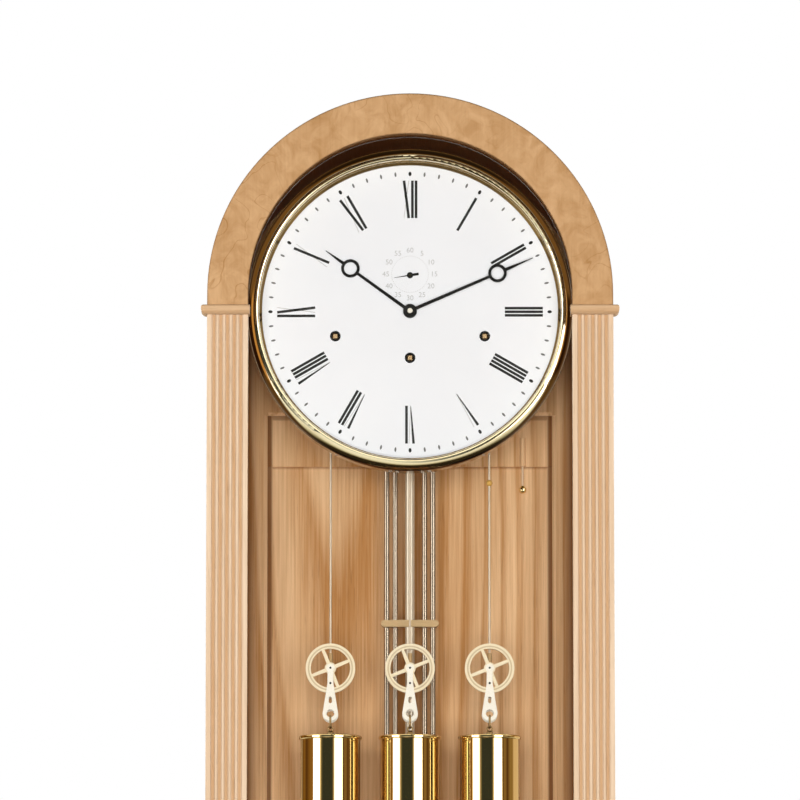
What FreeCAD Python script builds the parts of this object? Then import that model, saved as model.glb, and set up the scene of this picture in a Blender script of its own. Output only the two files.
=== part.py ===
import FreeCAD, Part
import math
import os

V = FreeCAD.Vector
X_AXIS = V(1, 0, 0)
Y_AXIS = V(0, 1, 0)
Z_AXIS = V(0, 0, 1)

# Longcase clock in millimetres: +Z up, the front looks along -Y, floor at Z = 0.

# Clearances, how far a cut runs past a face, and how near counts as equal
JOINT_FIT = 0.05
RUN_FIT = 0.08
LOOSE_FIT = 0.3
OVERRUN = 1.0
TOLERANCE = 1e-4

# Case
OVERALL_H = 1950.0
TRUNK_W = 407.0
TRUNK_D = 300.0
SIDE_T = 18.0
DOOR_T = 28.0
DOOR_GAP = 0.6
DOOR_LIFT = 2.0

# Plinth
BASE_H = 345.0
BASE_OUT = 10.0
BASE_PANEL_T = 18.0
BASE_TOP_T = 17.0
BASE_TOP_OUT = 5.0
BASE_TOP_ROUND = 7.0
SKIRT_H = 90.0
SKIRT_OUT = 10.0
SKIRT_LIFT = 2.0
SKIRT_CHAMFER = 6.0
FOOT_H = 8.0
FOOT_R = 16.0
FOOT_INSET = 22.0
CORNER_BLOCK = 36.0

# Back of the trunk
BACK_T = 22.0
BACK_STILE_W = 37.5
BACK_RAIL_H = 80.0
TOP_BOARD_DROP = 87.8
BACK_CHAMFER = 4.0
PANEL_SET = 10.0
PANEL_T = 8.0
PANEL_LAP = 10.0
BATTEN_H = 52.7
BATTEN_T = 3.0
WALL_HOLE_R = 3.5
WALL_HOLE_RISE = 120.0

# Door
STILE_W = 41.0
RAIL_H = 70.0
STILT = 12.0
DOOR_EDGE_ROUND = 2.5
FLUTES = 5
FLUTE_R = 2.4
FLUTE_PITCH = 6.7
CAP_H = 9.6
CAP_OUT = 6.0
CAP_IN = 1.8
CAP_LOW_SHARE = 0.85
CAP_HIGH_SHARE = 0.45
CAP_SIDE_STOP = 12.0
BLOCK_H = 110.0
BLOCK_OUT = 5.0
BLOCK_CHAMFER = 4.0
GLASS_T = 4.0
GLASS_REBATE = 8.0
BEAD_T = 6.0

# Hinges and latch
HINGE_L = 66.0
HINGE_INSET = 3.0
KNUCKLE_R = 2.8
HINGE_PIN_R = 1.4
HINGE_HEAD = 2.0
KNUCKLES = 3
LEAF_W = 14.0
LEAF_T = 1.5
HINGE_REBATE = 5.0
HINGE_LOW = 150.0
HINGE_HIGH = 90.0
LATCH_RISE = 690.0
LATCH_INSET = 26.5
SPINDLE_R = 3.0
KNOB_R = 8.5
KNOB_L = 16.0
KNOB_TOP_R = 6.0
KNOB_NECK_R = 4.2
KNOB_CROWN = 4.0
KNOB_NECK = 11.0
KNOB_ROSE_T = 1.6
CAM_L = 18.0
CAM_W = 8.0
CAM_T = 3.0
CAM_SET = 5.0
CAM_ROOM = 1.0

# Dial
DIAL_SET = 112.0
DIAL_DROP = 2.7
DIAL_R = 157.0
DIAL_T = 2.0
BEZEL_R = 165.2
BEZEL_IN_R = 150.6
BEZEL_H = 22.0
BEZEL_STEP_W = 2.6
BEZEL_STEP_H = 6.5
BEZEL_LIP_W = 2.8
BEZEL_LAP = 4.0
DIAL_FOOT_R = 3.0
DIAL_FOOT_X = 90.0
DIAL_FOOT_Z = 60.0
GROMMET_R = 5.4
GROMMET_T = 0.6
GROMMET_WALL = 0.9
SECONDS_RISE = 37.4
ARBOR_X = 76.0
ARBOR_DROP = 25.1
CENTRE_DROP = 47.3

# Hands
HOUR_ANGLE = 306.0
MINUTE_ANGLE = 66.5
SECOND_ANGLE = 261.0
HOUR_L = 106.0
HOUR_RING = 75.0
MINUTE_L = 136.5
MINUTE_RING = 97.0
RING_R = 9.4
RING_BAR = 2.9
HAND_W = 3.4
HAND_HUB_R = 7.0
HAND_T = 1.2
SECOND_L = 16.3
SECOND_TAIL = 8.9
SECOND_TAIL_W = 2.6
SECOND_W = 1.3
SECOND_HUB_R = 3.2
SECOND_T = 0.6
SECOND_BORE_R = 0.9
HAND_GAP = 1.2
SHAFT_TAPER = 0.8
TIP_TAPER = 0.15
NUT_R = 2.6
NUT_H = 2.3
NUT_TOP_R = 1.6
NUT_RIM_H = 1.4

# Movement frame
MOTION_GAP = 18.0
PLATE_T = 3.0
PLATE_GAP = 62.0
PLATE_HALF_W = 108.0
PLATE_TOP = 85.0
PLATE_BOTTOM = 98.0
PLATE_CORNER = 25.0
PILLAR_R = 5.0
PILLAR_X = 96.0
PILLAR_HIGH = 70.0
PILLAR_LOW = 60.0
SHELF_T = 6.0
SHELF_HALF_W = 89.0
SHELF_FLANGE_T = 4.0
SHELF_FLANGE_H = 80.0
SHELF_SLOT_HALF = 46.0
BUSH_R = 5.0
BUSH_FLANGE_R = 7.0
BUSH_FLANGE_T = 1.5
BUSH_BORE_R = 2.2

# Train: teeth counts and the modules that set the centre distances
PIVOT_R = 1.5
ARBOR_R = 1.8
CANNON_R = 2.6
HOUR_PIPE_R = 4.0
MOTION_SET = 2.0
MOTION_STEP = 2.5
CENTRE_WHEEL_SET = 19.0
THIRD_WHEEL_SET = 29.0
ESCAPE_WHEEL_SET = 41.0
WHEEL_T = 2.5
PINION_T = 6.0
GREAT_TEETH = 96
CENTRE_PINION = 8
CENTRE_TEETH = 60
THIRD_PINION = 8
THIRD_TEETH = 64
ESCAPE_PINION = 8
ESCAPE_TEETH = 30
CANNON_TEETH = 12
MINUTE_WHEEL_TEETH = 36
MINUTE_PINION = 10
HOUR_TEETH = 40
CENTRE_MODULE = 0.8
THIRD_MODULE = 0.7
MOTION_MODULE = 0.8
TOOTH_RISE = 0.8
TOOTH_DEPTH = 1.2
TOOTH_TIP = 0.08
TOOTH_MIDDLE = 0.17
TOOTH_ROOT = 0.24
MINUTE_STUD_R = 2.0
MINUTE_STUD_ANGLE = 210.0
STUD_PAST = 1.0
SIDE_GREAT_TEETH = 72
SIDE_GREAT_MODULE = 0.8
ESCAPE_TIP_R = 18.0
ESCAPE_ROOT_R = 14.6
ESCAPE_TOOTH = ((ESCAPE_TIP_R, 0.0), (ESCAPE_TIP_R, 0.06), (ESCAPE_ROOT_R, 0.3), (ESCAPE_ROOT_R, 0.85))
PALLET_CLEAR = 1.6
PALLET_T = 4.0
ANCHOR_BAR = 2.0
ANCHOR_HUB_R = 4.0
CRUTCH_L = 75.0
CRUTCH_W = 5.0
CRUTCH_T = 3.0
CRUTCH_GAP = 2.0
FORK_R = 1.2

# Barrels and lines
BARREL_R = 6.2
BARREL_FLANGE_R = 11.0
BARREL_FLANGE_T = 2.0
BARREL_L = 42.0
BARREL_ARBOR_R = 3.0
WINDING_SQUARE = 4.2
GREAT_GAP = 5.0
LINE_R = 1.2
LINE_X = 81.0
LINE_BEND = 8.0
LINE_WRAP = 240.0

# Pulleys, hangers and weights
PULLEY_DROP = 359.8
PULLEY_R = 25.2
PULLEY_RIM = 5.2
PULLEY_W = 6.0
PULLEY_GROOVE = 2.4
PULLEY_LIP = 1.2
PULLEY_HUB_R = 5.8
PULLEY_HUB_W = 7.2
PULLEY_AHEAD = 6.0
PULLEY_TURN = 22.0
SPOKES = 4
SPOKE_W = 4.0
SPOKE_T = 4.0
SPOKE_TAPER = 0.75
SPOKE_ROOT = 1.3
AXLE_R = 2.0
AXLE_HEAD_R = 3.6
AXLE_HEAD_T = 1.6
STRAP_T = 1.8
STRAP_TOP_R = 4.4
STRAP_NECK_R = 2.8
STRAP_WAIST_R = 3.0
STRAP_EYE_R = 7.9
STRAP_EYE_HOLE_R = 4.0
STRAP_L = 46.3
STRAP_SLOT_L = 6.6
STRAP_SLOT_W = 3.4
STRAP_SLOT_DROP = 32.7
STRAP_RIVET_R = 1.0
STRAP_RIVET_DROP = 15.5
SPACER_R = 1.6
SPACER_GAP = 0.8
COLLAR_R = 4.0
LINE_EYE_R = 5.0
LINE_EYE_T = 2.8
FERRULE_R = 2.3
FERRULE_L = 16.0
FERRULE_HOLE = 7.0
STOP_BEAD_R = 3.4
STOP_BEAD_RISE = 190.6
HOOK_BAR_R = 1.1
HOOK_BAR_PAST = 0.4
HOOK_LEG_R = 1.0
HOOK_LOW_RISE = 9.6
HOOK_RING_R = 2.4
HOOK_RING_WIRE_R = 0.8
HOOK_RING_RISE = 7.2
HOOK_KNOB_R = 3.6
HOOK_KNOB_RISE = 2.2
WEIGHT_DROP = 68.7
WEIGHT_R = 30.5
WEIGHT_WALL = 1.2
WEIGHT_L = 242.0
WEIGHT_CORE_R = 27.0
WEIGHT_CAP_R = 32.2
WEIGHT_CAP_T = 4.0
WEIGHT_CAP_ROUND = 1.3
WEIGHT_NUT_R = 6.0
WEIGHT_NUT_H = 5.0
WEIGHT_NUT_TIP_R = 3.0

# Pendulum
PENDULUM_L = 994.0
PENDULUM_GAP = 28.0
SUSPENSION_L = 26.0
SUSPENSION_T = 0.6
SUSPENSION_W = 10.0
SUSPENSION_PIN_R = 1.5
COCK_LUG_T = 2.5
COCK_LUG_GAP = 15.0
COCK_HALF_W = 9.0
COCK_H = 8.0
COCK_RISE = 4.0
CHOPS_H = 12.0
CHOPS_HALF_W = 4.0
CENTRE_ROD_R = 5.0
OUTER_ROD_X = 23.7
INNER_ROD_X = 15.1
SIDE_ROD_R = 2.7
BRIDGE_HALF_W = 26.0
BRIDGE_H = 7.0
BRIDGE_WALL = 2.5
MID_BRIDGE_DROP = 374.0
BOTTOM_BRIDGE_RISE = 130.0
BOB_R = 95.0
BOB_T = 34.0
BOB_RIM_T = 6.0
BOB_BORE_FIT = 0.2
ROD_TAIL = 45.0
RATING_NUT_R = 13.0
RATING_NUT_H = 9.0
RATING_NOTCHES = 12
RATING_NOTCH_R = 1.4

# Bells and hammers
BELL_RADII = (21.0, 19.0, 17.5, 16.0)
BELL_WALL = 1.6
BELL_PITCH = 44.0
BELL_SET = 10.0
BELL_RISE = 9.0
BELL_PLATE_T = 4.0
BELL_PLATE_HALF_W = 92.0
BELL_POST_R = 2.5
BELL_NUT_R = 4.0
BELL_NUT_H = 3.0
HAMMER_ARBOR_R = 2.0
HAMMER_SET = 6.0
HAMMER_RISE = 3.0
HAMMER_LUG_T = 4.0
HAMMER_LUG_HALF = 4.5
HAMMER_ARM_R = 1.4
HAMMER_ARM_L = 11.0
HAMMER_HEAD_R = 3.5
HAMMER_STANDOFF = 1.6

# Pull cord
PULL_X = 117.3
PULL_CORD_R = 1.2
PULL_SHOW = 24.5
PULL_HIDE = 30.0
PULL_BEAD_R = 3.8
PULL_GUIDE_R = 3.0

# Places worked out from the sizes
HALF_W = TRUNK_W / 2
INNER_HALF = HALF_W - SIDE_T
OPENING_HALF = HALF_W - STILE_W
HALF_D = (TRUNK_D + BASE_OUT + SKIRT_OUT) / 2
Y_BACK = HALF_D
Y_BASE = SKIRT_OUT - HALF_D
Y_DOOR = Y_BASE + BASE_OUT
Y_DOOR_BACK = Y_DOOR + DOOR_T
Y_CASE = Y_DOOR_BACK + DOOR_GAP
Y_FRAME = Y_BACK - BACK_T
Y_PANEL = Y_FRAME + PANEL_SET
BASE_HALF = HALF_W + BASE_OUT
Z_TRUNK = BASE_H + BASE_TOP_T
Z_DOOR = Z_TRUNK + DOOR_LIFT
Z_ARCH = OVERALL_H - HALF_W
Z_CAP = Z_ARCH - STILT
Z_TOP_BOARD = Z_ARCH - TOP_BOARD_DROP
Z_BATTEN = Z_TOP_BOARD - BATTEN_H
BACK_HALF = INNER_HALF - BACK_STILE_W
X_HINGE = HALF_W - HINGE_INSET
Y_HINGE = Y_DOOR_BACK + DOOR_GAP / 2
X_LATCH = LATCH_INSET - HALF_W
Z_LATCH = Z_DOOR + LATCH_RISE
Z_HINGES = (Z_DOOR + HINGE_LOW, (Z_DOOR + Z_CAP) / 2, Z_CAP - HINGE_HIGH)

Z_DIAL = Z_ARCH - DIAL_DROP
Y_DIAL = Y_DOOR + DIAL_SET
Y_DIAL_BACK = Y_DIAL + DIAL_T
Y_FRONT_PLATE = Y_DIAL_BACK + MOTION_GAP
Y_PLATES_IN = Y_FRONT_PLATE + PLATE_T
Y_PLATES_OUT = Y_PLATES_IN + PLATE_GAP
Y_PLATES_END = Y_PLATES_OUT + PLATE_T
Y_LINE = Y_PLATES_IN + PLATE_GAP / 2
Y_PEND = Y_PLATES_END + PENDULUM_GAP
Z_SHELF = Z_DIAL - PLATE_BOTTOM
Z_PLATE_TOP = Z_DIAL + PLATE_TOP
Z_ESCAPE = Z_DIAL + SECONDS_RISE
Z_PIVOT = Z_ESCAPE + ESCAPE_TIP_R * math.sqrt(2)

Y_SECOND = Y_DIAL - HAND_GAP - SECOND_T
Y_HOUR = Y_SECOND - HAND_GAP - HAND_T
Y_MINUTE = Y_HOUR - 2 * HAND_GAP - HAND_T

Y_GREAT = Y_PLATES_IN + GREAT_GAP
Y_BARREL = Y_GREAT + WHEEL_T + LOOSE_FIT
Y_BARREL_END = Y_BARREL + BARREL_L
Y_CENTRE_WHEEL = Y_PLATES_OUT - CENTRE_WHEEL_SET
Y_THIRD_WHEEL = Y_PLATES_OUT - THIRD_WHEEL_SET
Y_ESCAPE_WHEEL = Y_PLATES_OUT - ESCAPE_WHEEL_SET
Y_MOTION_LOW = Y_FRONT_PLATE - MOTION_SET - WHEEL_T
Y_MOTION_HIGH = Y_MOTION_LOW - MOTION_STEP - WHEEL_T

GREAT_MODULE = 2 * CENTRE_DROP / (GREAT_TEETH + CENTRE_PINION)
CENTRE_REACH = CENTRE_MODULE * (CENTRE_TEETH + THIRD_PINION) / 2
THIRD_REACH = THIRD_MODULE * (THIRD_TEETH + ESCAPE_PINION) / 2
Z_THIRD = Z_DIAL + (SECONDS_RISE ** 2 + CENTRE_REACH ** 2 - THIRD_REACH ** 2) / (2 * SECONDS_RISE)
X_THIRD = math.sqrt(CENTRE_REACH ** 2 - (Z_THIRD - Z_DIAL) ** 2)
MOTION_REACH = MOTION_MODULE * (CANNON_TEETH + MINUTE_WHEEL_TEETH) / 2
HOUR_MODULE = 2 * MOTION_REACH / (MINUTE_PINION + HOUR_TEETH)
X_MINUTE_STUD = MOTION_REACH * math.cos(math.radians(MINUTE_STUD_ANGLE))
Z_MINUTE_STUD = Z_DIAL + MOTION_REACH * math.sin(math.radians(MINUTE_STUD_ANGLE))

Z_AXLE = Z_DIAL - PULLEY_DROP
Y_WHEEL = Y_LINE - PULLEY_AHEAD
Y_HUB = Y_WHEEL - PULLEY_HUB_W / 2
STRAP_REACH = Y_LINE - Y_HUB + LOOSE_FIT
Z_EYE = Z_AXLE - STRAP_L
Z_WEIGHT = Z_AXLE - WEIGHT_DROP
LINE_COIL_R = BARREL_R + LINE_R + 2 * JOINT_FIT

Z_BOB = Z_PIVOT - PENDULUM_L
Z_TOP_BRIDGE = Z_PIVOT - SUSPENSION_L - CHOPS_H - BRIDGE_H
Z_MID_BRIDGE = Z_PIVOT - MID_BRIDGE_DROP
Z_BOTTOM_BRIDGE = Z_BOB + BOTTOM_BRIDGE_RISE

Z_BELL_PLATE = Z_PLATE_TOP + BELL_PLATE_T
Z_BELLS = Z_BELL_PLATE + BELL_RISE
Y_BELLS = Y_PLATES_END - BELL_SET
Y_PULL = Y_PANEL - PULL_BEAD_R - LOOSE_FIT
Y_HAMMER = Y_PLATES_END + HAMMER_SET
Z_HAMMER = Z_BELL_PLATE + HAMMER_RISE

# Name, arbor X, arbor Z, line X, side of the drum that the line leaves from
TRAINS = (
    ("left", -ARBOR_X, Z_DIAL - ARBOR_DROP, -LINE_X, -1),
    ("centre", 0.0, Z_DIAL - CENTRE_DROP, 0.0, -1),
    ("right", ARBOR_X, Z_DIAL - ARBOR_DROP, LINE_X, 1),
)


def box(x0, x1, y0, y1, z0, z1):
    return Part.makeBox(x1 - x0, y1 - y0, z1 - z0, V(x0, y0, z0))


def rod_x(radius, y, z, x0, x1):
    return Part.makeCylinder(radius, x1 - x0, V(x0, y, z), X_AXIS)


def rod_y(radius, x, z, y0, y1):
    return Part.makeCylinder(radius, y1 - y0, V(x, y0, z), Y_AXIS)


def rod_z(radius, x, y, z0, z1):
    return Part.makeCylinder(radius, z1 - z0, V(x, y, z0), Z_AXIS)


def union(first, *others):
    return first.multiFuse(list(others)).removeSplitter()


def flat_xz(points, y0, y1):
    """A plate with corners at (x, z), from y0 to y1."""
    corners = [V(x, y0, z) for x, z in points]
    outline = Part.makePolygon(corners + corners[:1])
    return Part.Face(outline).extrude(V(0, y1 - y0, 0))


def flat_xy(points, z0, z1):
    """A plate with corners at (x, y), from z0 to z1."""
    corners = [V(x, y, z0) for x, y in points]
    outline = Part.makePolygon(corners + corners[:1])
    return Part.Face(outline).extrude(V(0, 0, z1 - z0))


def arch(half, z_bottom, y0, y1):
    """An upright slab with straight sides and a round head on the case's arch centre."""
    low_left = V(-half, y0, z_bottom)
    low_right = V(half, y0, z_bottom)
    right = V(half, y0, Z_ARCH)
    left = V(-half, y0, Z_ARCH)
    top = V(0, y0, Z_ARCH + half)
    edges = [
        Part.LineSegment(low_left, low_right).toShape(),
        Part.LineSegment(low_right, right).toShape(),
        Part.Arc(right, top, left).toShape(),
        Part.LineSegment(left, low_left).toShape(),
    ]
    return Part.Face(Part.Wire(edges)).extrude(V(0, y1 - y0, 0))


def turned_y(profile, x, z):
    """A piece turned about an axis along Y, from (radius, y) corners."""
    corners = [V(x + radius, y, z) for radius, y in profile]
    outline = Part.makePolygon(corners + corners[:1])
    return Part.Face(outline).revolve(V(x, 0, z), Y_AXIS, 360)


def turned_z(profile, x, y):
    """A piece turned about an upright axis, from (radius, z) corners."""
    corners = [V(x + radius, y, z) for radius, z in profile]
    outline = Part.makePolygon(corners + corners[:1])
    return Part.Face(outline).revolve(V(x, y, 0), Z_AXIS, 360)


def toothed(teeth, module, x, z, y0, y1, phase):
    """A gear blank with flat-sided teeth, one of them at the phase angle (radians from +X to +Z)."""
    pitch_r = module * teeth / 2
    pitch = 2 * math.pi / teeth
    flank = (
        (pitch_r - TOOTH_DEPTH * module, TOOTH_ROOT),
        (pitch_r, TOOTH_MIDDLE),
        (pitch_r + TOOTH_RISE * module, TOOTH_TIP),
    )
    side = [(r, -share) for r, share in flank] + [(r, share) for r, share in reversed(flank)]
    points = []
    for tooth in range(teeth):
        for radius, share in side:
            angle = phase + (tooth + share) * pitch
            points.append((x + radius * math.cos(angle), z + radius * math.sin(angle)))
    return flat_xz(points, y0, y1)


def meshing_phase(phase, teeth, mate_teeth, direction):
    """Phase of a gear that meshes with one of the given phase, lying that way from it."""
    return direction + math.pi + math.pi / mate_teeth - (phase - direction) * teeth / mate_teeth


def edges_where(shape, test):
    return [edge for edge in shape.Edges if test(edge.BoundBox)]


def near(a, b):
    return abs(a - b) < TOLERANCE


def build_plinth():
    outer = BASE_HALF + SKIRT_OUT
    inner_front = Y_BASE + BASE_PANEL_T
    inner_half = BASE_HALF - BASE_PANEL_T
    front = box(-BASE_HALF, BASE_HALF, Y_BASE, inner_front, FOOT_H, BASE_H)
    rear = box(-inner_half, inner_half, Y_BACK - PANEL_T, Y_BACK, FOOT_H, BASE_H)
    panels = [front, rear]
    feet = []
    for side in (-1, 1):
        x0, x1 = sorted((side * inner_half, side * BASE_HALF))
        panels.append(box(x0, x1, inner_front, Y_BACK, FOOT_H, BASE_H))
        block_x = sorted((side * inner_half, side * (inner_half - CORNER_BLOCK)))
        for y0 in (inner_front, Y_BACK - PANEL_T - CORNER_BLOCK):
            panels.append(box(*block_x, y0, y0 + CORNER_BLOCK, FOOT_H, FOOT_H + CORNER_BLOCK))
        for y in (Y_BASE + FOOT_INSET, Y_BACK - FOOT_INSET):
            feet.append(rod_z(FOOT_R, side * (BASE_HALF - FOOT_INSET), y, 0, FOOT_H))

    top = SKIRT_LIFT + SKIRT_H
    ring = box(-outer, outer, Y_BASE - SKIRT_OUT, Y_BACK, SKIRT_LIFT, top)
    ring = ring.cut(box(-BASE_HALF, BASE_HALF, Y_BASE, Y_BACK + OVERRUN, 0, top + OVERRUN))
    upper = edges_where(ring, lambda b: near(b.ZMin, top) and (
        near(b.YMax, Y_BASE - SKIRT_OUT) or near(b.XMin, outer) or near(b.XMax, -outer)))
    ring = ring.makeChamfer(SKIRT_CHAMFER, upper)
    skirt_front = Y_BASE - SKIRT_OUT
    mitre = ((-outer, skirt_front), (outer, skirt_front), (BASE_HALF, Y_BASE), (-BASE_HALF, Y_BASE))
    front_region = flat_xy(mitre, 0, top + OVERRUN)
    sides = ring.cut(front_region)
    skirting = [ring.common(front_region)] + sides.Solids

    half = BASE_HALF + BASE_TOP_OUT
    board = box(-half, half, Y_BASE - BASE_TOP_OUT, Y_BACK, BASE_H, Z_TRUNK)
    rim = edges_where(board, lambda b: near(b.ZMin, Z_TRUNK) and (
        near(b.YMax, Y_BASE - BASE_TOP_OUT) or near(b.XMin, half) or near(b.XMax, -half)))
    board = board.makeFillet(BASE_TOP_ROUND, rim)
    return {
        "plinth_skirting": skirting,
        "base_panels": panels,
        "base_top_board": [board],
        "levelling_feet": feet,
    }


def hinge_rebate():
    """Room in the case's front edge for the knuckles and the door's turning corner."""
    x0 = X_HINGE - KNUCKLE_R - 4 * LOOSE_FIT
    return box(x0, HALF_W + OVERRUN, Y_CASE - OVERRUN, Y_CASE + HINGE_REBATE,
               Z_TRUNK - OVERRUN, Z_ARCH + STILE_W)


def build_trunk():
    left = box(-HALF_W, -INNER_HALF, Y_CASE, Y_BACK, Z_TRUNK, Z_ARCH)
    cam_front = Y_DOOR_BACK + CAM_SET
    sweep = CAM_L + 2 * LOOSE_FIT
    mortise = box(
        X_LATCH - sweep, -INNER_HALF + OVERRUN, cam_front - CAM_ROOM, cam_front + CAM_T + CAM_ROOM,
        Z_LATCH - CAM_W / 2 - CAM_ROOM, Z_LATCH + sweep)
    left = left.cut(mortise)
    right = box(INNER_HALF, HALF_W, Y_CASE, Y_BACK, Z_TRUNK, Z_ARCH).cut(hinge_rebate())
    for z in Z_HINGES:
        right = right.cut(box(
            X_HINGE - LEAF_W - JOINT_FIT, HALF_W, Y_CASE - OVERRUN, Y_CASE + LEAF_T,
            z - HINGE_L / 2 - JOINT_FIT, z + HINGE_L / 2 + JOINT_FIT))
    front = Y_CASE - OVERRUN
    rear = Y_BACK + OVERRUN
    hood = rod_y(HALF_W, 0, Z_ARCH, Y_CASE, Y_BACK).cut(rod_y(INNER_HALF, 0, Z_ARCH, front, rear))
    hood = hood.cut(box(-HALF_W, HALF_W, front, rear, Z_ARCH - HALF_W, Z_ARCH)).cut(hinge_rebate())

    room = box(-BACK_HALF - PANEL_LAP, BACK_HALF + PANEL_LAP, Y_PANEL, rear,
               Z_TRUNK + BACK_RAIL_H - PANEL_LAP, Z_TOP_BOARD + PANEL_LAP)
    frame = []
    for side in (-1, 1):
        x0, x1 = sorted((side * BACK_HALF, side * INNER_HALF))
        stile = box(x0, x1, Y_FRAME, Y_BACK, Z_TRUNK, Z_TOP_BOARD)
        inner = edges_where(stile, lambda b: near(b.YMax, Y_FRAME) and near(b.XMin, side * BACK_HALF)
                            and near(b.XMax, side * BACK_HALF))
        frame.append(stile.makeChamfer(BACK_CHAMFER, inner).cut(room))
    frame.append(box(-BACK_HALF, BACK_HALF, Y_FRAME, Y_BACK, Z_TRUNK, Z_TRUNK + BACK_RAIL_H).cut(room))
    head = arch(INNER_HALF - JOINT_FIT, Z_TOP_BOARD, Y_FRAME, Y_BACK)
    corner = ((BACK_CHAMFER, 0.0), (0.0, 0.0), (0.0, BACK_CHAMFER))
    bevel = Part.Face(Part.makePolygon([
        V(-BACK_HALF, Y_FRAME + dy, Z_TOP_BOARD + dz) for dy, dz in corner + corner[:1]]))
    head = head.cut(bevel.extrude(V(2 * BACK_HALF, 0, 0))).cut(room)
    head = head.cut(rod_y(WALL_HOLE_R, 0, Z_ARCH + WALL_HOLE_RISE, Y_FRAME - OVERRUN, rear))
    frame.append(head)
    batten = box(-BACK_HALF, BACK_HALF, Y_PANEL - BATTEN_T, Y_PANEL, Z_BATTEN, Z_TOP_BOARD)
    guide = rod_z(PULL_GUIDE_R, PULL_X, Y_PULL, Z_BATTEN, Z_BATTEN + PULL_HIDE)
    guide = guide.common(box(0, HALF_W, 0, Y_PANEL, Z_BATTEN, Z_TOP_BOARD))
    batten = union(batten, guide)
    cord_room = PULL_CORD_R + LOOSE_FIT / 2
    cord_top = Z_BATTEN + PULL_HIDE
    batten = batten.cut(rod_z(cord_room, PULL_X, Y_PULL, Z_BATTEN - OVERRUN, cord_top + OVERRUN))
    frame.append(batten)
    panel = box(-BACK_HALF - PANEL_LAP + JOINT_FIT, BACK_HALF + PANEL_LAP - JOINT_FIT,
                Y_PANEL, Y_PANEL + PANEL_T,
                Z_TRUNK + BACK_RAIL_H - PANEL_LAP + JOINT_FIT, Z_TOP_BOARD + PANEL_LAP - JOINT_FIT)
    return {
        "left_side_panel": [left],
        "right_side_panel": [right],
        "arch_hood": [hood],
        "back_frame": frame,
        "back_panel": [panel],
    }


def stile_block(side, z0, z1):
    x0, x1 = sorted((side * OPENING_HALF, side * HALF_W))
    return box(x0, x1, Y_DOOR, Y_DOOR_BACK, z0, z1)


def wrap_block(side, z0, z1, out, inward):
    """A block round the front and sides of a stile, clear of the hinge side's back corner."""
    x0, x1 = sorted((side * (OPENING_HALF - inward), side * (HALF_W + out)))
    return box(x0, x1, Y_DOOR - out, Y_DOOR_BACK - CAP_SIDE_STOP, z0, z1)


def build_door():
    glass_front = Y_DOOR_BACK - BEAD_T - GLASS_T
    rail_top = Z_DOOR + RAIL_H
    door_front = Y_DOOR - OVERRUN
    door_rear = Y_DOOR_BACK + OVERRUN
    rebate = arch(OPENING_HALF + GLASS_REBATE, rail_top - GLASS_REBATE, glass_front, door_rear)
    cap_low = Z_CAP - CAP_H
    block_top = Z_DOOR + BLOCK_H
    nodes = {"capitals": [], "pilaster_blocks": []}
    for side, name in ((-1, "left"), (1, "right")):
        stile = stile_block(side, Z_DOOR, Z_CAP).cut(rebate)
        middle = side * (OPENING_HALF + HALF_W) / 2
        for flute in range(FLUTES):
            x = middle + (flute - (FLUTES - 1) / 2) * FLUTE_PITCH
            stile = stile.cut(rod_z(FLUTE_R, x, Y_DOOR, block_top, cap_low))
        if side < 0:
            stile = stile.cut(rod_y(SPINDLE_R + RUN_FIT, X_LATCH, Z_LATCH, door_front, door_rear))
        else:
            for z in Z_HINGES:
                stile = stile.cut(door_leaf_room(z))
        nodes["door_%s_stile" % name] = [stile]

        cap = wrap_block(side, cap_low, Z_CAP, CAP_OUT, CAP_IN)
        outside = side * (HALF_W + CAP_OUT)
        lower = edges_where(cap, lambda b: near(b.ZMax, cap_low) and (
            near(b.YMax, Y_DOOR - CAP_OUT) or (near(b.XMin, outside) and near(b.XMax, outside))))
        cap = cap.makeFillet(CAP_LOW_SHARE * CAP_OUT, lower)
        upper = edges_where(cap, lambda b: near(b.ZMin, Z_CAP) and (
            near(b.YMax, Y_DOOR - CAP_OUT) or (near(b.XMin, outside) and near(b.XMax, outside))))
        cap = cap.makeFillet(CAP_HIGH_SHARE * CAP_OUT, upper)
        nodes["capitals"].append(cap.cut(stile_block(side, cap_low - OVERRUN, Z_CAP + OVERRUN)))

        block = wrap_block(side, Z_DOOR, block_top, BLOCK_OUT, 0)
        outside = side * (HALF_W + BLOCK_OUT)
        upper = edges_where(block, lambda b: near(b.ZMin, block_top) and (
            near(b.YMax, Y_DOOR - BLOCK_OUT) or (near(b.XMin, outside) and near(b.XMax, outside))))
        block = block.makeChamfer(BLOCK_CHAMFER, upper)
        nodes["pilaster_blocks"].append(block.cut(stile_block(side, Z_DOOR - OVERRUN, block_top + OVERRUN)))

    head = arch(HALF_W, Z_CAP, Y_DOOR, Y_DOOR_BACK)
    rim = edges_where(head, lambda b: near(b.YMax, Y_DOOR) and b.ZMax > Z_CAP + TOLERANCE)
    head = head.makeFillet(DOOR_EDGE_ROUND, rim)
    head = head.cut(arch(OPENING_HALF, Z_CAP - OVERRUN, door_front, door_rear))
    nodes["door_arch"] = [head.cut(rebate)]
    rail = box(-OPENING_HALF, OPENING_HALF, Y_DOOR, Y_DOOR_BACK, Z_DOOR, rail_top)
    nodes["door_bottom_rail"] = [rail.cut(rebate)]

    pane_half = OPENING_HALF + GLASS_REBATE - JOINT_FIT
    pane_low = rail_top - GLASS_REBATE + JOINT_FIT
    nodes["door_glass"] = [arch(pane_half, pane_low, glass_front, glass_front + GLASS_T)]
    bead = arch(pane_half, pane_low, Y_DOOR_BACK - BEAD_T, Y_DOOR_BACK)
    nodes["glazing_bead"] = [bead.cut(arch(OPENING_HALF, rail_top, glass_front, door_rear))]
    return nodes


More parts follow.
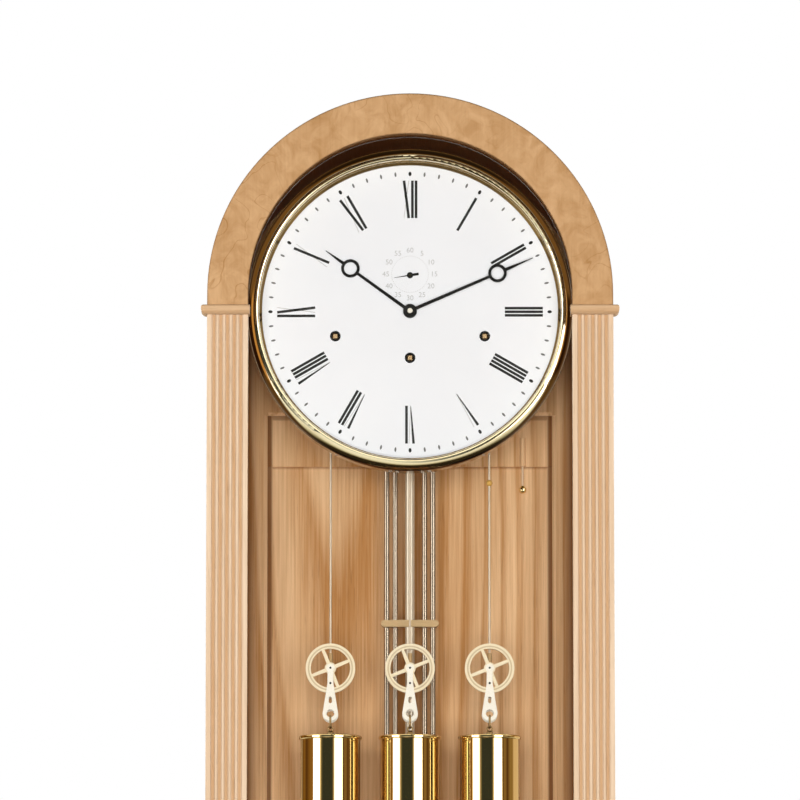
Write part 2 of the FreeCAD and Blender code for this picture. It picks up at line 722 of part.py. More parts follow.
def hinge_knuckle(radius, z, low, high):
    """A stretch of a hinge's barrel, from low to high as measured from its middle."""
    return rod_z(radius, X_HINGE, Y_HINGE, z + low, z + high)


def door_leaf_room(z):
    low = z - HINGE_L / 2
    pocket = box(X_HINGE - LEAF_W - JOINT_FIT, HALF_W + OVERRUN, Y_DOOR_BACK - LEAF_T, Y_DOOR_BACK + OVERRUN,
                 low - JOINT_FIT, low + HINGE_L + JOINT_FIT)
    barrel = rod_z(KNUCKLE_R + LOOSE_FIT, X_HINGE, Y_HINGE,
                   low - HINGE_HEAD - 2 * LOOSE_FIT, low + HINGE_L + HINGE_HEAD + 2 * LOOSE_FIT)
    return pocket.fuse(barrel)


def build_hinges():
    case_leaves = []
    door_leaves = []
    room = KNUCKLE_R + LOOSE_FIT
    half = HINGE_L / 2
    case_edge = HINGE_L / KNUCKLES / 2 + LOOSE_FIT / 2
    door_edge = HINGE_L / KNUCKLES / 2 - LOOSE_FIT / 2
    past = half + OVERRUN
    for z in Z_HINGES:
        low = z - half
        high = z + half
        case_leaf = box(X_HINGE - LEAF_W, X_HINGE, Y_CASE, Y_CASE + LEAF_T, low, high)
        case_leaf = case_leaf.cut(hinge_knuckle(room, z, -case_edge, case_edge))
        case_leaf = union(case_leaf, hinge_knuckle(KNUCKLE_R, z, -half, -case_edge),
                          hinge_knuckle(KNUCKLE_R, z, case_edge, half))
        case_leaves.append(case_leaf.cut(hinge_knuckle(HINGE_PIN_R + RUN_FIT, z, -past, past)))

        door_leaf = box(X_HINGE - LEAF_W, X_HINGE, Y_DOOR_BACK - LEAF_T, Y_DOOR_BACK, low, high)
        door_leaf = door_leaf.cut(hinge_knuckle(room, z, -past, -door_edge))
        door_leaf = door_leaf.cut(hinge_knuckle(room, z, door_edge, past))
        pin = rod_z(HINGE_PIN_R, X_HINGE, Y_HINGE, low - HINGE_HEAD, high + HINGE_HEAD)
        heads = [
            rod_z(KNUCKLE_R, X_HINGE, Y_HINGE, low - HINGE_HEAD - LOOSE_FIT, low - LOOSE_FIT),
            rod_z(KNUCKLE_R, X_HINGE, Y_HINGE, high + LOOSE_FIT, high + HINGE_HEAD + LOOSE_FIT),
        ]
        middle = hinge_knuckle(KNUCKLE_R, z, -door_edge, door_edge)
        door_leaves.append(union(door_leaf, middle, pin, *heads))
    return {"hinge_case_leaves": case_leaves, "hinge_door_leaves": door_leaves}


def build_latch():
    cam_front = Y_DOOR_BACK + CAM_SET
    cam_back = cam_front + CAM_T
    rose = Y_DOOR - LOOSE_FIT
    top = rose - KNOB_L
    knob = turned_y((
        (0, top), (KNOB_TOP_R, top), (KNOB_R, top + KNOB_CROWN), (KNOB_NECK_R, top + KNOB_NECK),
        (KNOB_R, rose - KNOB_ROSE_T), (KNOB_R, rose), (0, rose)), X_LATCH, Z_LATCH)
    spindle = rod_y(SPINDLE_R, X_LATCH, Z_LATCH, rose, cam_back)
    half = CAM_W / 2
    arm = box(X_LATCH - half, X_LATCH + half, cam_front, cam_back, Z_LATCH, Z_LATCH + CAM_L)
    hub = rod_y(half, X_LATCH, Z_LATCH, cam_front, cam_back)
    return {"turn_latch": [union(knob, spindle), union(arm, hub).cut(spindle)]}


def build_dial():
    dial = rod_y(DIAL_R, 0, Z_DIAL, Y_DIAL, Y_DIAL_BACK)
    feet = [rod_y(DIAL_FOOT_R, sx * DIAL_FOOT_X, Z_DIAL + sz * DIAL_FOOT_Z, Y_DIAL_BACK, Y_FRONT_PLATE)
            for sx in (-1, 1) for sz in (-1, 1)]
    dial = union(dial, *feet)
    front = Y_DIAL - OVERRUN
    rear = Y_DIAL_BACK + OVERRUN
    dial = dial.cut(rod_y(HOUR_PIPE_R + LOOSE_FIT, 0, Z_DIAL, front, rear))
    dial = dial.cut(rod_y(PIVOT_R + LOOSE_FIT, 0, Z_ESCAPE, front, rear))
    sleeve = GROMMET_R - GROMMET_WALL
    grommets = []
    for name, x, z, line_x, side in TRAINS:
        dial = dial.cut(rod_y(sleeve + JOINT_FIT, x, z, front, rear))
        rim = rod_y(GROMMET_R, x, z, Y_DIAL - GROMMET_T, Y_DIAL)
        ring = union(rim, rod_y(sleeve, x, z, Y_DIAL, Y_DIAL_BACK))
        grommets.append(ring.cut(rod_y(sleeve - GROMMET_WALL, x, z, front - GROMMET_T, rear)))

    step_r = BEZEL_IN_R + BEZEL_STEP_W
    crest_r = step_r + BEZEL_LIP_W
    flank_w = BEZEL_R - crest_r
    crest = Y_DIAL - BEZEL_H
    seat_r = DIAL_R + JOINT_FIT
    section = [V(r, y, Z_DIAL) for r, y in (
        (BEZEL_R, crest + flank_w), (BEZEL_R, Y_DIAL + BEZEL_LAP), (seat_r, Y_DIAL + BEZEL_LAP),
        (seat_r, Y_DIAL), (BEZEL_IN_R, Y_DIAL), (BEZEL_IN_R, Y_DIAL - BEZEL_STEP_H / 2),
        (step_r, Y_DIAL - BEZEL_STEP_H), (step_r, crest + BEZEL_LIP_W))]
    edges = [Part.LineSegment(a, b).toShape() for a, b in zip(section, section[1:])]
    top = V(crest_r, crest, Z_DIAL)
    slant = math.sqrt(0.5)
    lip_mid = V(crest_r - slant * BEZEL_LIP_W, crest + (1 - slant) * BEZEL_LIP_W, Z_DIAL)
    flank_mid = V(crest_r + slant * flank_w, crest + (1 - slant) * flank_w, Z_DIAL)
    edges.append(Part.Arc(section[-1], lip_mid, top).toShape())
    edges.append(Part.Arc(top, flank_mid, section[0]).toShape())
    bezel = Part.Face(Part.Wire(edges)).revolve(V(0, 0, Z_DIAL), Y_AXIS, 360)
    return {"dial": [dial], "bezel": [bezel], "winding_grommets": grommets}


def set_hand(shape, x, z, angle):
    """Turns a hand made pointing up at the origin to its clock angle and moves it to its arbor."""
    shape.rotate(V(0, 0, 0), Y_AXIS, angle)
    shape.translate(V(x, 0, z))
    return shape


def ring_hand(length, ring, y, bore):
    """A hand with an open ring in its shaft and a long pointed tip."""
    y1 = y + HAND_T
    half = HAND_W / 2
    near_ring = ring - RING_R + RING_BAR / 2
    narrow = SHAFT_TAPER * half
    shaft = flat_xz(((-half, 0), (half, 0), (narrow, near_ring), (-narrow, near_ring)), y, y1)
    loop = rod_y(RING_R, 0, ring, y, y1).cut(rod_y(RING_R - RING_BAR, 0, ring, y, y1))
    far = ring + RING_R - RING_BAR / 2
    point = TIP_TAPER * half
    tip = flat_xz(((-half, far), (half, far), (point, length), (-point, length)), y, y1)
    hand = union(rod_y(HAND_HUB_R, 0, 0, y, y1), shaft, loop, tip)
    return hand.cut(rod_y(bore, 0, 0, y - OVERRUN, y1 + OVERRUN))


def build_hands():
    hour = ring_hand(HOUR_L, HOUR_RING, Y_HOUR, HOUR_PIPE_R)
    minute = ring_hand(MINUTE_L, MINUTE_RING, Y_MINUTE, CANNON_R)
    y1 = Y_SECOND + SECOND_T
    half = SECOND_W / 2
    tail = SECOND_TAIL_W / 2
    point = TIP_TAPER * half
    second = union(
        rod_y(SECOND_HUB_R, 0, 0, Y_SECOND, y1),
        flat_xz(((-half, 0), (half, 0), (point, SECOND_L), (-point, SECOND_L)), Y_SECOND, y1),
        flat_xz(((-tail, 0), (-tail, -SECOND_TAIL), (tail, -SECOND_TAIL), (tail, 0)), Y_SECOND, y1))
    second = second.cut(rod_y(SECOND_BORE_R, 0, 0, Y_SECOND - OVERRUN, y1 + OVERRUN))
    return {
        "hour_hand": [set_hand(hour, 0, Z_DIAL, HOUR_ANGLE)],
        "minute_hand": [set_hand(minute, 0, Z_DIAL, MINUTE_ANGLE)],
        "seconds_hand": [set_hand(second, 0, Z_ESCAPE, SECOND_ANGLE)],
    }


def build_motion_work():
    cannon_phase = math.radians(MINUTE_STUD_ANGLE)
    wheel_phase = meshing_phase(cannon_phase, CANNON_TEETH, MINUTE_WHEEL_TEETH, cannon_phase)
    pinion_phase = cannon_phase + math.pi
    hour_phase = meshing_phase(pinion_phase, MINUTE_PINION, HOUR_TEETH, cannon_phase + math.pi)

    low_end = Y_MOTION_LOW + WHEEL_T
    pinion = toothed(CANNON_TEETH, MOTION_MODULE, 0, Z_DIAL, Y_MOTION_LOW, low_end, cannon_phase)
    cannon = union(pinion, rod_y(CANNON_R, 0, Z_DIAL, Y_MINUTE, Y_FRONT_PLATE - LOOSE_FIT))
    cannon = cannon.cut(rod_y(PIVOT_R + RUN_FIT, 0, Z_DIAL, Y_MINUTE - OVERRUN, Y_FRONT_PLATE))
    nut_top = Y_MINUTE - NUT_H
    nut = turned_y(((0, nut_top), (NUT_TOP_R, nut_top), (NUT_R, Y_MINUTE - NUT_RIM_H),
                    (NUT_R, Y_MINUTE), (0, Y_MINUTE)), 0, Z_DIAL)

    mesh_low = toothed(MINUTE_WHEEL_TEETH, MOTION_MODULE, X_MINUTE_STUD, Z_MINUTE_STUD,
                       Y_MOTION_LOW, low_end, wheel_phase)
    mesh_high = toothed(MINUTE_PINION, HOUR_MODULE, X_MINUTE_STUD, Z_MINUTE_STUD,
                        Y_MOTION_HIGH, Y_MOTION_LOW, pinion_phase)
    minute_wheel = union(mesh_low, mesh_high)
    minute_wheel = minute_wheel.cut(rod_y(MINUTE_STUD_R + RUN_FIT, X_MINUTE_STUD, Z_MINUTE_STUD,
                                          Y_DIAL_BACK, Y_FRONT_PLATE))
    high_end = Y_MOTION_HIGH + WHEEL_T
    hour_gear = toothed(HOUR_TEETH, HOUR_MODULE, 0, Z_DIAL, Y_MOTION_HIGH, high_end, hour_phase)
    hour_wheel = union(hour_gear, rod_y(HOUR_PIPE_R, 0, Z_DIAL, Y_HOUR, high_end))
    hour_wheel = hour_wheel.cut(rod_y(CANNON_R + RUN_FIT, 0, Z_DIAL, Y_HOUR - OVERRUN, Y_FRONT_PLATE))
    return {"cannon_pinion": [cannon, nut], "minute_wheel": [minute_wheel], "hour_wheel": [hour_wheel]}


def arbor(x, z, front, back):
    """A wheel's arbor: thick between the plates, with a pivot through each plate."""
    body = rod_y(ARBOR_R, x, z, Y_PLATES_IN + LOOSE_FIT, Y_PLATES_OUT - LOOSE_FIT)
    return union(body, rod_y(PIVOT_R, x, z, front, back))


def wheel(teeth, module, x, z, y, phase):
    return toothed(teeth, module, x, z, y, y + WHEEL_T, phase)


def pinion_for(wheel_y, teeth, module, x, z, phase):
    """A pinion centred across the wheel that drives it."""
    y = wheel_y + (WHEEL_T - PINION_T) / 2
    return toothed(teeth, module, x, z, y, y + PINION_T, phase)


def build_train():
    up = math.pi / 2
    great_x, great_z = TRAINS[1][1:3]
    great = wheel(GREAT_TEETH, GREAT_MODULE, great_x, great_z, Y_GREAT, up)
    bore = rod_y(BARREL_ARBOR_R + RUN_FIT, great_x, great_z, Y_PLATES_IN, Y_PLATES_OUT)
    great = great.cut(bore)

    phase = meshing_phase(up, GREAT_TEETH, CENTRE_PINION, up)
    pinion = pinion_for(Y_GREAT, CENTRE_PINION, GREAT_MODULE, 0, Z_DIAL, phase)
    to_third = math.atan2(Z_THIRD - Z_DIAL, X_THIRD)
    gear = wheel(CENTRE_TEETH, CENTRE_MODULE, 0, Z_DIAL, Y_CENTRE_WHEEL, to_third)
    centre = union(arbor(0, Z_DIAL, Y_MINUTE + LOOSE_FIT, Y_PLATES_END), pinion, gear)

    phase = meshing_phase(to_third, CENTRE_TEETH, THIRD_PINION, to_third)
    pinion = pinion_for(Y_CENTRE_WHEEL, THIRD_PINION, CENTRE_MODULE, X_THIRD, Z_THIRD, phase)
    to_escape = math.atan2(Z_ESCAPE - Z_THIRD, -X_THIRD)
    gear = wheel(THIRD_TEETH, THIRD_MODULE, X_THIRD, Z_THIRD, Y_THIRD_WHEEL, to_escape)
    third = union(arbor(X_THIRD, Z_THIRD, Y_FRONT_PLATE, Y_PLATES_END), pinion, gear)

    phase = meshing_phase(to_escape, THIRD_TEETH, ESCAPE_PINION, to_escape)
    pinion = pinion_for(Y_THIRD_WHEEL, ESCAPE_PINION, THIRD_MODULE, 0, Z_ESCAPE, phase)
    points = []
    for tooth in range(ESCAPE_TEETH):
        for radius, share in ESCAPE_TOOTH:
            angle = (tooth + share) * 2 * math.pi / ESCAPE_TEETH
            points.append((radius * math.cos(angle), Z_ESCAPE + radius * math.sin(angle)))
    gear = flat_xz(points, Y_ESCAPE_WHEEL, Y_ESCAPE_WHEEL + WHEEL_T)
    tip = rod_y(SECOND_BORE_R, 0, Z_ESCAPE, Y_SECOND, Y_FRONT_PLATE)
    escape = union(arbor(0, Z_ESCAPE, Y_FRONT_PLATE, Y_PLATES_END), pinion, gear, tip)
    return {
        "great_wheel": [great],
        "centre_wheel": [centre],
        "third_wheel": [third],
        "escape_wheel": [escape],
    }


def build_anchor():
    y0 = Y_ESCAPE_WHEEL + WHEEL_T / 2 - PALLET_T / 2
    y1 = y0 + PALLET_T
    nib_r = ESCAPE_TIP_R + PALLET_CLEAR + ANCHOR_BAR / 2
    nib = nib_r / math.sqrt(2)
    pieces = [rod_y(ANCHOR_HUB_R, 0, Z_PIVOT, y0, y1)]
    half = ANCHOR_BAR / 2
    nib_z = Z_ESCAPE + nib
    for side in (-1, 1):
        pieces.append(flat_xz((
            (0, Z_PIVOT + half), (0, Z_PIVOT - half), (side * (nib - half), nib_z + half),
            (side * (nib + half), nib_z - half), (side * (nib + ANCHOR_BAR), nib_z)), y0, y1))
    crutch_0 = Y_PLATES_END + CRUTCH_GAP
    crutch_1 = crutch_0 + CRUTCH_T
    staff = rod_y(PIVOT_R, 0, Z_PIVOT, Y_FRONT_PLATE, crutch_1)
    body = rod_y(ARBOR_R, 0, Z_PIVOT, Y_PLATES_IN + LOOSE_FIT, Y_PLATES_OUT - LOOSE_FIT)
    low = Z_PIVOT - CRUTCH_L
    bar = box(-CRUTCH_W / 2, CRUTCH_W / 2, crutch_0, crutch_1, low, Z_PIVOT + CRUTCH_W / 2)
    prong_x = CENTRE_ROD_R + FORK_R + LOOSE_FIT
    foot_half = prong_x + FORK_R
    foot = box(-foot_half, foot_half, crutch_0, crutch_1, low - CRUTCH_W / 2, low + CRUTCH_W / 2)
    prongs = [rod_y(FORK_R, side * prong_x, low, crutch_0, Y_PEND + CENTRE_ROD_R) for side in (-1, 1)]
    return {"anchor": [union(body, staff, *pieces, bar, foot, *prongs)]}


def plate_outline():
    half = PLATE_HALF_W
    foot = half - PLATE_CORNER
    corner_z = Z_SHELF + PLATE_CORNER
    return ((-half, Z_PLATE_TOP), (half, Z_PLATE_TOP), (half, corner_z), (foot, Z_SHELF),
            (-foot, Z_SHELF), (-half, corner_z))


def build_frame():
    front = flat_xz(plate_outline(), Y_FRONT_PLATE, Y_PLATES_IN)
    back = flat_xz(plate_outline(), Y_PLATES_OUT, Y_PLATES_END)
    wheels = ((0, Z_DIAL), (X_THIRD, Z_THIRD), (0, Z_ESCAPE), (0, Z_PIVOT))
    pivots = [(x, z, PIVOT_R) for x, z in wheels]
    pivots += [(x, z, BARREL_ARBOR_R) for name, x, z, line_x, side in TRAINS]
    for x, z, radius in pivots:
        hole = rod_y(radius + RUN_FIT, x, z, Y_FRONT_PLATE - OVERRUN, Y_PLATES_END + OVERRUN)
        front = front.cut(hole)
        back = back.cut(hole)
    stud_end = Y_MOTION_HIGH - STUD_PAST
    stud = rod_y(MINUTE_STUD_R, X_MINUTE_STUD, Z_MINUTE_STUD, stud_end, Y_FRONT_PLATE)
    front = union(front, stud)
    pillars = [rod_y(PILLAR_R, side * PILLAR_X, z, Y_PLATES_IN, Y_PLATES_OUT)
               for side in (-1, 1) for z in (Z_DIAL + PILLAR_HIGH, Z_DIAL - PILLAR_LOW)]

    low = Z_PIVOT + COCK_RISE
    lug_gap = COCK_LUG_GAP / 2
    far = Y_PEND + lug_gap + COCK_LUG_T
    arm = box(-COCK_HALF_W, COCK_HALF_W, Y_PLATES_END, far, low, low + COCK_H)
    lugs = [box(-COCK_HALF_W / 2, COCK_HALF_W / 2, y0, y0 + COCK_LUG_T, Z_PIVOT - COCK_RISE, low)
            for y0 in (Y_PEND - lug_gap - COCK_LUG_T, Y_PEND + lug_gap)]
    cock = union(arm, *lugs).cut(rod_y(SUSPENSION_PIN_R + RUN_FIT, 0, Z_PIVOT, Y_PLATES_END, far + OVERRUN))

    shelf_low = Z_SHELF - SHELF_T
    shelf = box(-SHELF_HALF_W, SHELF_HALF_W, Y_FRONT_PLATE, Y_FRAME, shelf_low, Z_SHELF)
    flange = box(-SHELF_HALF_W, SHELF_HALF_W, Y_FRAME - SHELF_FLANGE_T, Y_FRAME,
                 shelf_low, shelf_low + SHELF_FLANGE_H)
    slot_0 = Y_PLATES_END + CRUTCH_GAP
    slot_1 = 2 * Y_PEND - slot_0
    below = shelf_low - BUSH_FLANGE_T - OVERRUN
    above = Z_SHELF + OVERRUN
    slot = box(-SHELF_SLOT_HALF, SHELF_SLOT_HALF, slot_0, slot_1, below, above)
    shelf = union(shelf, flange).cut(slot)
    bushes = []
    for name, x, z, line_x, side in TRAINS:
        shelf = shelf.cut(rod_z(BUSH_R + JOINT_FIT, line_x, Y_LINE, below, above))
        bush = union(rod_z(BUSH_R, line_x, Y_LINE, shelf_low, Z_SHELF),
                     rod_z(BUSH_FLANGE_R, line_x, Y_LINE, shelf_low - BUSH_FLANGE_T, shelf_low))
        bushes.append(bush.cut(rod_z(BUSH_BORE_R, line_x, Y_LINE, below, above)))
    return {
        "front_plate": [front],
        "back_plate": [back, cock] + pillars,
        "movement_bracket": [shelf] + bushes,
    }


def line_route(x, z, line_x, side):
    """The weight line: up from the ferrule, through the bush and round the drum."""
    low = V(line_x, Y_LINE, Z_AXLE + FERRULE_L - FERRULE_HOLE + JOINT_FIT)
    bend = V(line_x, Y_LINE, Z_SHELF)
    reach = math.hypot(x - line_x, z - Z_SHELF)
    heading = math.atan2(z - Z_SHELF, x - line_x) - side * math.asin(LINE_COIL_R / reach)
    run = math.sqrt(reach ** 2 - LINE_COIL_R ** 2)
    direction = V(math.cos(heading), 0, math.sin(heading))
    leave = bend + direction * run
    before = bend - Z_AXIS * LINE_BEND
    after = bend + direction * LINE_BEND
    turn = heading - math.pi / 2
    edges = []
    if abs(turn) > TOLERANCE:
        radius = LINE_BEND / math.tan(abs(turn) / 2)
        centre = before + X_AXIS * (-radius if turn > 0 else radius)
        inward = (bend - centre).normalize()
        edges.append(Part.LineSegment(low, before).toShape())
        edges.append(Part.Arc(before, centre + inward * radius, after).toShape())
        edges.append(Part.LineSegment(after, leave).toShape())
    else:
        edges.append(Part.LineSegment(low, leave).toShape())
    start = math.atan2(leave.z - z, leave.x - x)

    def on_drum(share):
        angle = start + side * math.radians(LINE_WRAP) * share
        return V(x + LINE_COIL_R * math.cos(angle), Y_LINE, z + LINE_COIL_R * math.sin(angle))

    edges.append(Part.Arc(leave, on_drum(0.25), on_drum(0.5)).toShape())
    edges.append(Part.Arc(on_drum(0.5), on_drum(0.75), on_drum(1.0)).toShape())
    return Part.Wire(edges)


def build_line(x, z, line_x, side):
    route = line_route(x, z, line_x, side)
    ring = Part.Wire(Part.makeCircle(LINE_R, route.Edges[0].Vertexes[0].Point, Z_AXIS))
    line = route.makePipeShell([ring], True, False)
    print("line volume %.1f, section times length %.1f" % (line.Volume, math.pi * LINE_R ** 2 * route.Length))
    return line


def build_barrel(x, z, with_great_wheel):
    half = WINDING_SQUARE / 2
    end = Y_BARREL_END
    pieces = [
        rod_y(BARREL_ARBOR_R, x, z, Y_FRONT_PLATE - LOOSE_FIT, Y_PLATES_END),
        box(x - half, x + half, Y_DIAL - GROMMET_T, Y_FRONT_PLATE, z - half, z + half),
        rod_y(BARREL_FLANGE_R, x, z, Y_BARREL, Y_BARREL + BARREL_FLANGE_T),
        rod_y(BARREL_R, x, z, Y_BARREL, end),
        rod_y(BARREL_FLANGE_R, x, z, end - BARREL_FLANGE_T, end),
    ]
    if with_great_wheel:
        pieces.append(toothed(SIDE_GREAT_TEETH, SIDE_GREAT_MODULE, x, z, end, end + WHEEL_T, 0))
    return union(pieces[0], *pieces[1:])


def build_pulley(x):
    inner = PULLEY_R - PULLEY_RIM
    half = PULLEY_W / 2
    lip = half - PULLEY_LIP
    rim = turned_y((
        (inner, Y_WHEEL - half), (PULLEY_R, Y_WHEEL - half), (PULLEY_R, Y_WHEEL - lip),
        (PULLEY_R - PULLEY_GROOVE, Y_WHEEL), (PULLEY_R, Y_WHEEL + lip), (PULLEY_R, Y_WHEEL + half),
        (inner, Y_WHEEL + half)), x, Z_AXLE)
    pieces = [rod_y(PULLEY_HUB_R, x, Z_AXLE, Y_HUB, Y_HUB + PULLEY_HUB_W)]
    reach = inner + SPOKE_ROOT
    for spoke in range(SPOKES):
        wide = SPOKE_W / 2
        narrow = SPOKE_TAPER * wide
        bar = flat_xz(((0, -wide), (reach, -narrow), (reach, narrow), (0, wide)),
                      Y_WHEEL - SPOKE_T / 2, Y_WHEEL + SPOKE_T / 2)
        bar.rotate(V(0, 0, 0), Y_AXIS, -PULLEY_TURN - spoke * 360 / SPOKES)
        bar.translate(V(x, 0, Z_AXLE))
        pieces.append(bar)
    bore = rod_y(AXLE_R + RUN_FIT, x, Z_AXLE, Y_HUB - OVERRUN, Y_HUB + PULLEY_HUB_W + OVERRUN)
    return union(rim, *pieces).cut(bore)


def build_strap(x, y0):
    y1 = y0 + STRAP_T
    rivet_z = Z_AXLE - STRAP_RIVET_DROP
    body = flat_xz((
        (x - STRAP_NECK_R, Z_AXLE), (x + STRAP_NECK_R, Z_AXLE), (x + STRAP_WAIST_R, rivet_z),
        (x + STRAP_EYE_R, Z_EYE), (x - STRAP_EYE_R, Z_EYE), (x - STRAP_WAIST_R, rivet_z)), y0, y1)
    strap = union(body, rod_y(STRAP_TOP_R, x, Z_AXLE, y0, y1), rod_y(STRAP_EYE_R, x, Z_EYE, y0, y1))
    slot_z = Z_AXLE - STRAP_SLOT_DROP
    half_w = STRAP_SLOT_W / 2
    slot_end = STRAP_SLOT_L / 2 - half_w
    front = y0 - OVERRUN
    rear = y1 + OVERRUN
    for hole in (
            rod_y(AXLE_R + JOINT_FIT, x, Z_AXLE, front, rear),
            rod_y(STRAP_EYE_HOLE_R, x, Z_EYE, front, rear),
            rod_y(STRAP_RIVET_R, x, rivet_z, front, rear),
            rod_y(half_w, x, slot_z - slot_end, front, rear),
            rod_y(half_w, x, slot_z + slot_end, front, rear),
            box(x - half_w, x + half_w, front, rear, slot_z - slot_end, slot_z + slot_end)):
        strap = strap.cut(hole)
    return strap


def build_hanger(x):
    front = Y_LINE - STRAP_REACH
    back = Y_LINE + STRAP_REACH
    axle = union(
        rod_y(AXLE_R, x, Z_AXLE, front - STRAP_T, back + STRAP_T),
        rod_y(AXLE_HEAD_R, x, Z_AXLE, front - STRAP_T - AXLE_HEAD_T, front - STRAP_T),
        rod_y(AXLE_HEAD_R, x, Z_AXLE, back + STRAP_T, back + STRAP_T + AXLE_HEAD_T))
    spacer_z = Z_AXLE - PULLEY_R - SPACER_R - SPACER_GAP
    spacer = rod_y(SPACER_R, x, spacer_z, front, back)
    half = LINE_EYE_T / 2
    eye = union(rod_y(LINE_EYE_R, x, Z_AXLE, Y_LINE - half, Y_LINE + half),
                rod_z(FERRULE_R, x, Y_LINE, Z_AXLE, Z_AXLE + FERRULE_L))
    eye = eye.cut(rod_y(AXLE_R + JOINT_FIT, x, Z_AXLE, Y_LINE - 2 * FERRULE_R, Y_LINE + 2 * FERRULE_R))
    mouth = Z_AXLE + FERRULE_L
    eye = eye.cut(rod_z(LINE_R + LOOSE_FIT / 2, x, Y_LINE, mouth - FERRULE_HOLE, mouth + OVERRUN))
    collar = rod_y(COLLAR_R, x, Z_AXLE, Y_LINE + FERRULE_R + JOINT_FIT, back)
    collar = collar.cut(rod_y(AXLE_R + JOINT_FIT, x, Z_AXLE, Y_LINE, back + OVERRUN))
    return [build_strap(x, front - STRAP_T), build_strap(x, back), axle, spacer, eye, collar]


def build_hook(x):
    """A wire stirrup through both eyes of the straps, and the ring and knob that tie it to the weight."""
    bar_z = Z_EYE - STRAP_EYE_HOLE_R + HOOK_BAR_R + JOINT_FIT
    low_z = Z_WEIGHT + HOOK_LOW_RISE
    reach = STRAP_REACH + STRAP_T + HOOK_LEG_R + LOOSE_FIT
    front = Y_LINE - reach
    back = Y_LINE + reach
    past = HOOK_LEG_R + HOOK_BAR_PAST
    wires = [rod_y(HOOK_BAR_R, x, z, front - past, back + past) for z in (bar_z, low_z)]
    wires += [rod_z(HOOK_LEG_R, x, y, low_z, bar_z) for y in (front, back)]
    ring = Part.makeTorus(HOOK_RING_R, HOOK_RING_WIRE_R, V(x, Y_LINE, Z_WEIGHT + HOOK_RING_RISE), Y_AXIS)
    knob = Part.makeSphere(HOOK_KNOB_R, V(x, Y_LINE, Z_WEIGHT + HOOK_KNOB_RISE))
    knob = knob.cut(box(x - HOOK_KNOB_R, x + HOOK_KNOB_R, front, back, Z_WEIGHT - HOOK_KNOB_R, Z_WEIGHT))
    return union(knob, ring, *wires)


def build_weight(x):
    shell_top = Z_WEIGHT - WEIGHT_CAP_T
    shell_low = shell_top - WEIGHT_L
    shell = rod_z(WEIGHT_R, x, Y_LINE, shell_low, shell_top)
    shell = shell.cut(rod_z(WEIGHT_R - WEIGHT_WALL, x, Y_LINE, shell_low - OVERRUN, shell_top + OVERRUN))
    core = rod_z(WEIGHT_CORE_R, x, Y_LINE, shell_low, shell_top)
    caps = []
    for z0 in (shell_top, shell_low - WEIGHT_CAP_T):
        cap = rod_z(WEIGHT_CAP_R, x, Y_LINE, z0, z0 + WEIGHT_CAP_T)
        rims = edges_where(cap, lambda b: near(b.ZMin, b.ZMax))
        caps.append(cap.makeFillet(WEIGHT_CAP_ROUND, rims))
    nut_top = shell_low - WEIGHT_CAP_T
    nut_low = nut_top - WEIGHT_NUT_H
    nut = turned_z(((0, nut_top), (WEIGHT_NUT_R, nut_top), (WEIGHT_NUT_TIP_R, nut_low), (0, nut_low)),
                   x, Y_LINE)
    return [build_hook(x), shell, core] + caps + [nut]


def build_stop_bead(x):
    z = Z_AXLE + STOP_BEAD_RISE
    bead = Part.makeSphere(STOP_BEAD_R, V(x, Y_LINE, z))
    return bead.cut(rod_z(LINE_R + LOOSE_FIT / 2, x, Y_LINE, z - 2 * STOP_BEAD_R, z + 2 * STOP_BEAD_R))


def build_weights():
    nodes = {}
    for name, x, z, line_x, side in TRAINS:
        nodes[name + "_line"] = [build_line(x, z, line_x, side)]
        nodes[name + "_barrel"] = [build_barrel(x, z, name != "centre")]
        nodes[name + "_pulley"] = [build_pulley(line_x)]
        nodes[name + "_hanger"] = build_hanger(line_x)
        nodes[name + "_weight"] = build_weight(line_x)
    nodes["right_hanger"].append(build_stop_bead(LINE_X))
    return nodes


def build_bridge(z, holes):
    half = CENTRE_ROD_R + BRIDGE_WALL
    middle = z + BRIDGE_H / 2
    bar = box(-BRIDGE_HALF_W, BRIDGE_HALF_W, Y_PEND - half, Y_PEND + half, z, z + BRIDGE_H)
    ends = [rod_y(BRIDGE_H / 2, side * BRIDGE_HALF_W, middle, Y_PEND - half, Y_PEND + half)
            for side in (-1, 1)]
    bridge = union(bar, *ends)
    for x, radius in holes:
        bridge = bridge.cut(rod_z(radius + JOINT_FIT, x, Y_PEND, z - BRIDGE_H, z + 2 * BRIDGE_H))
    return bridge


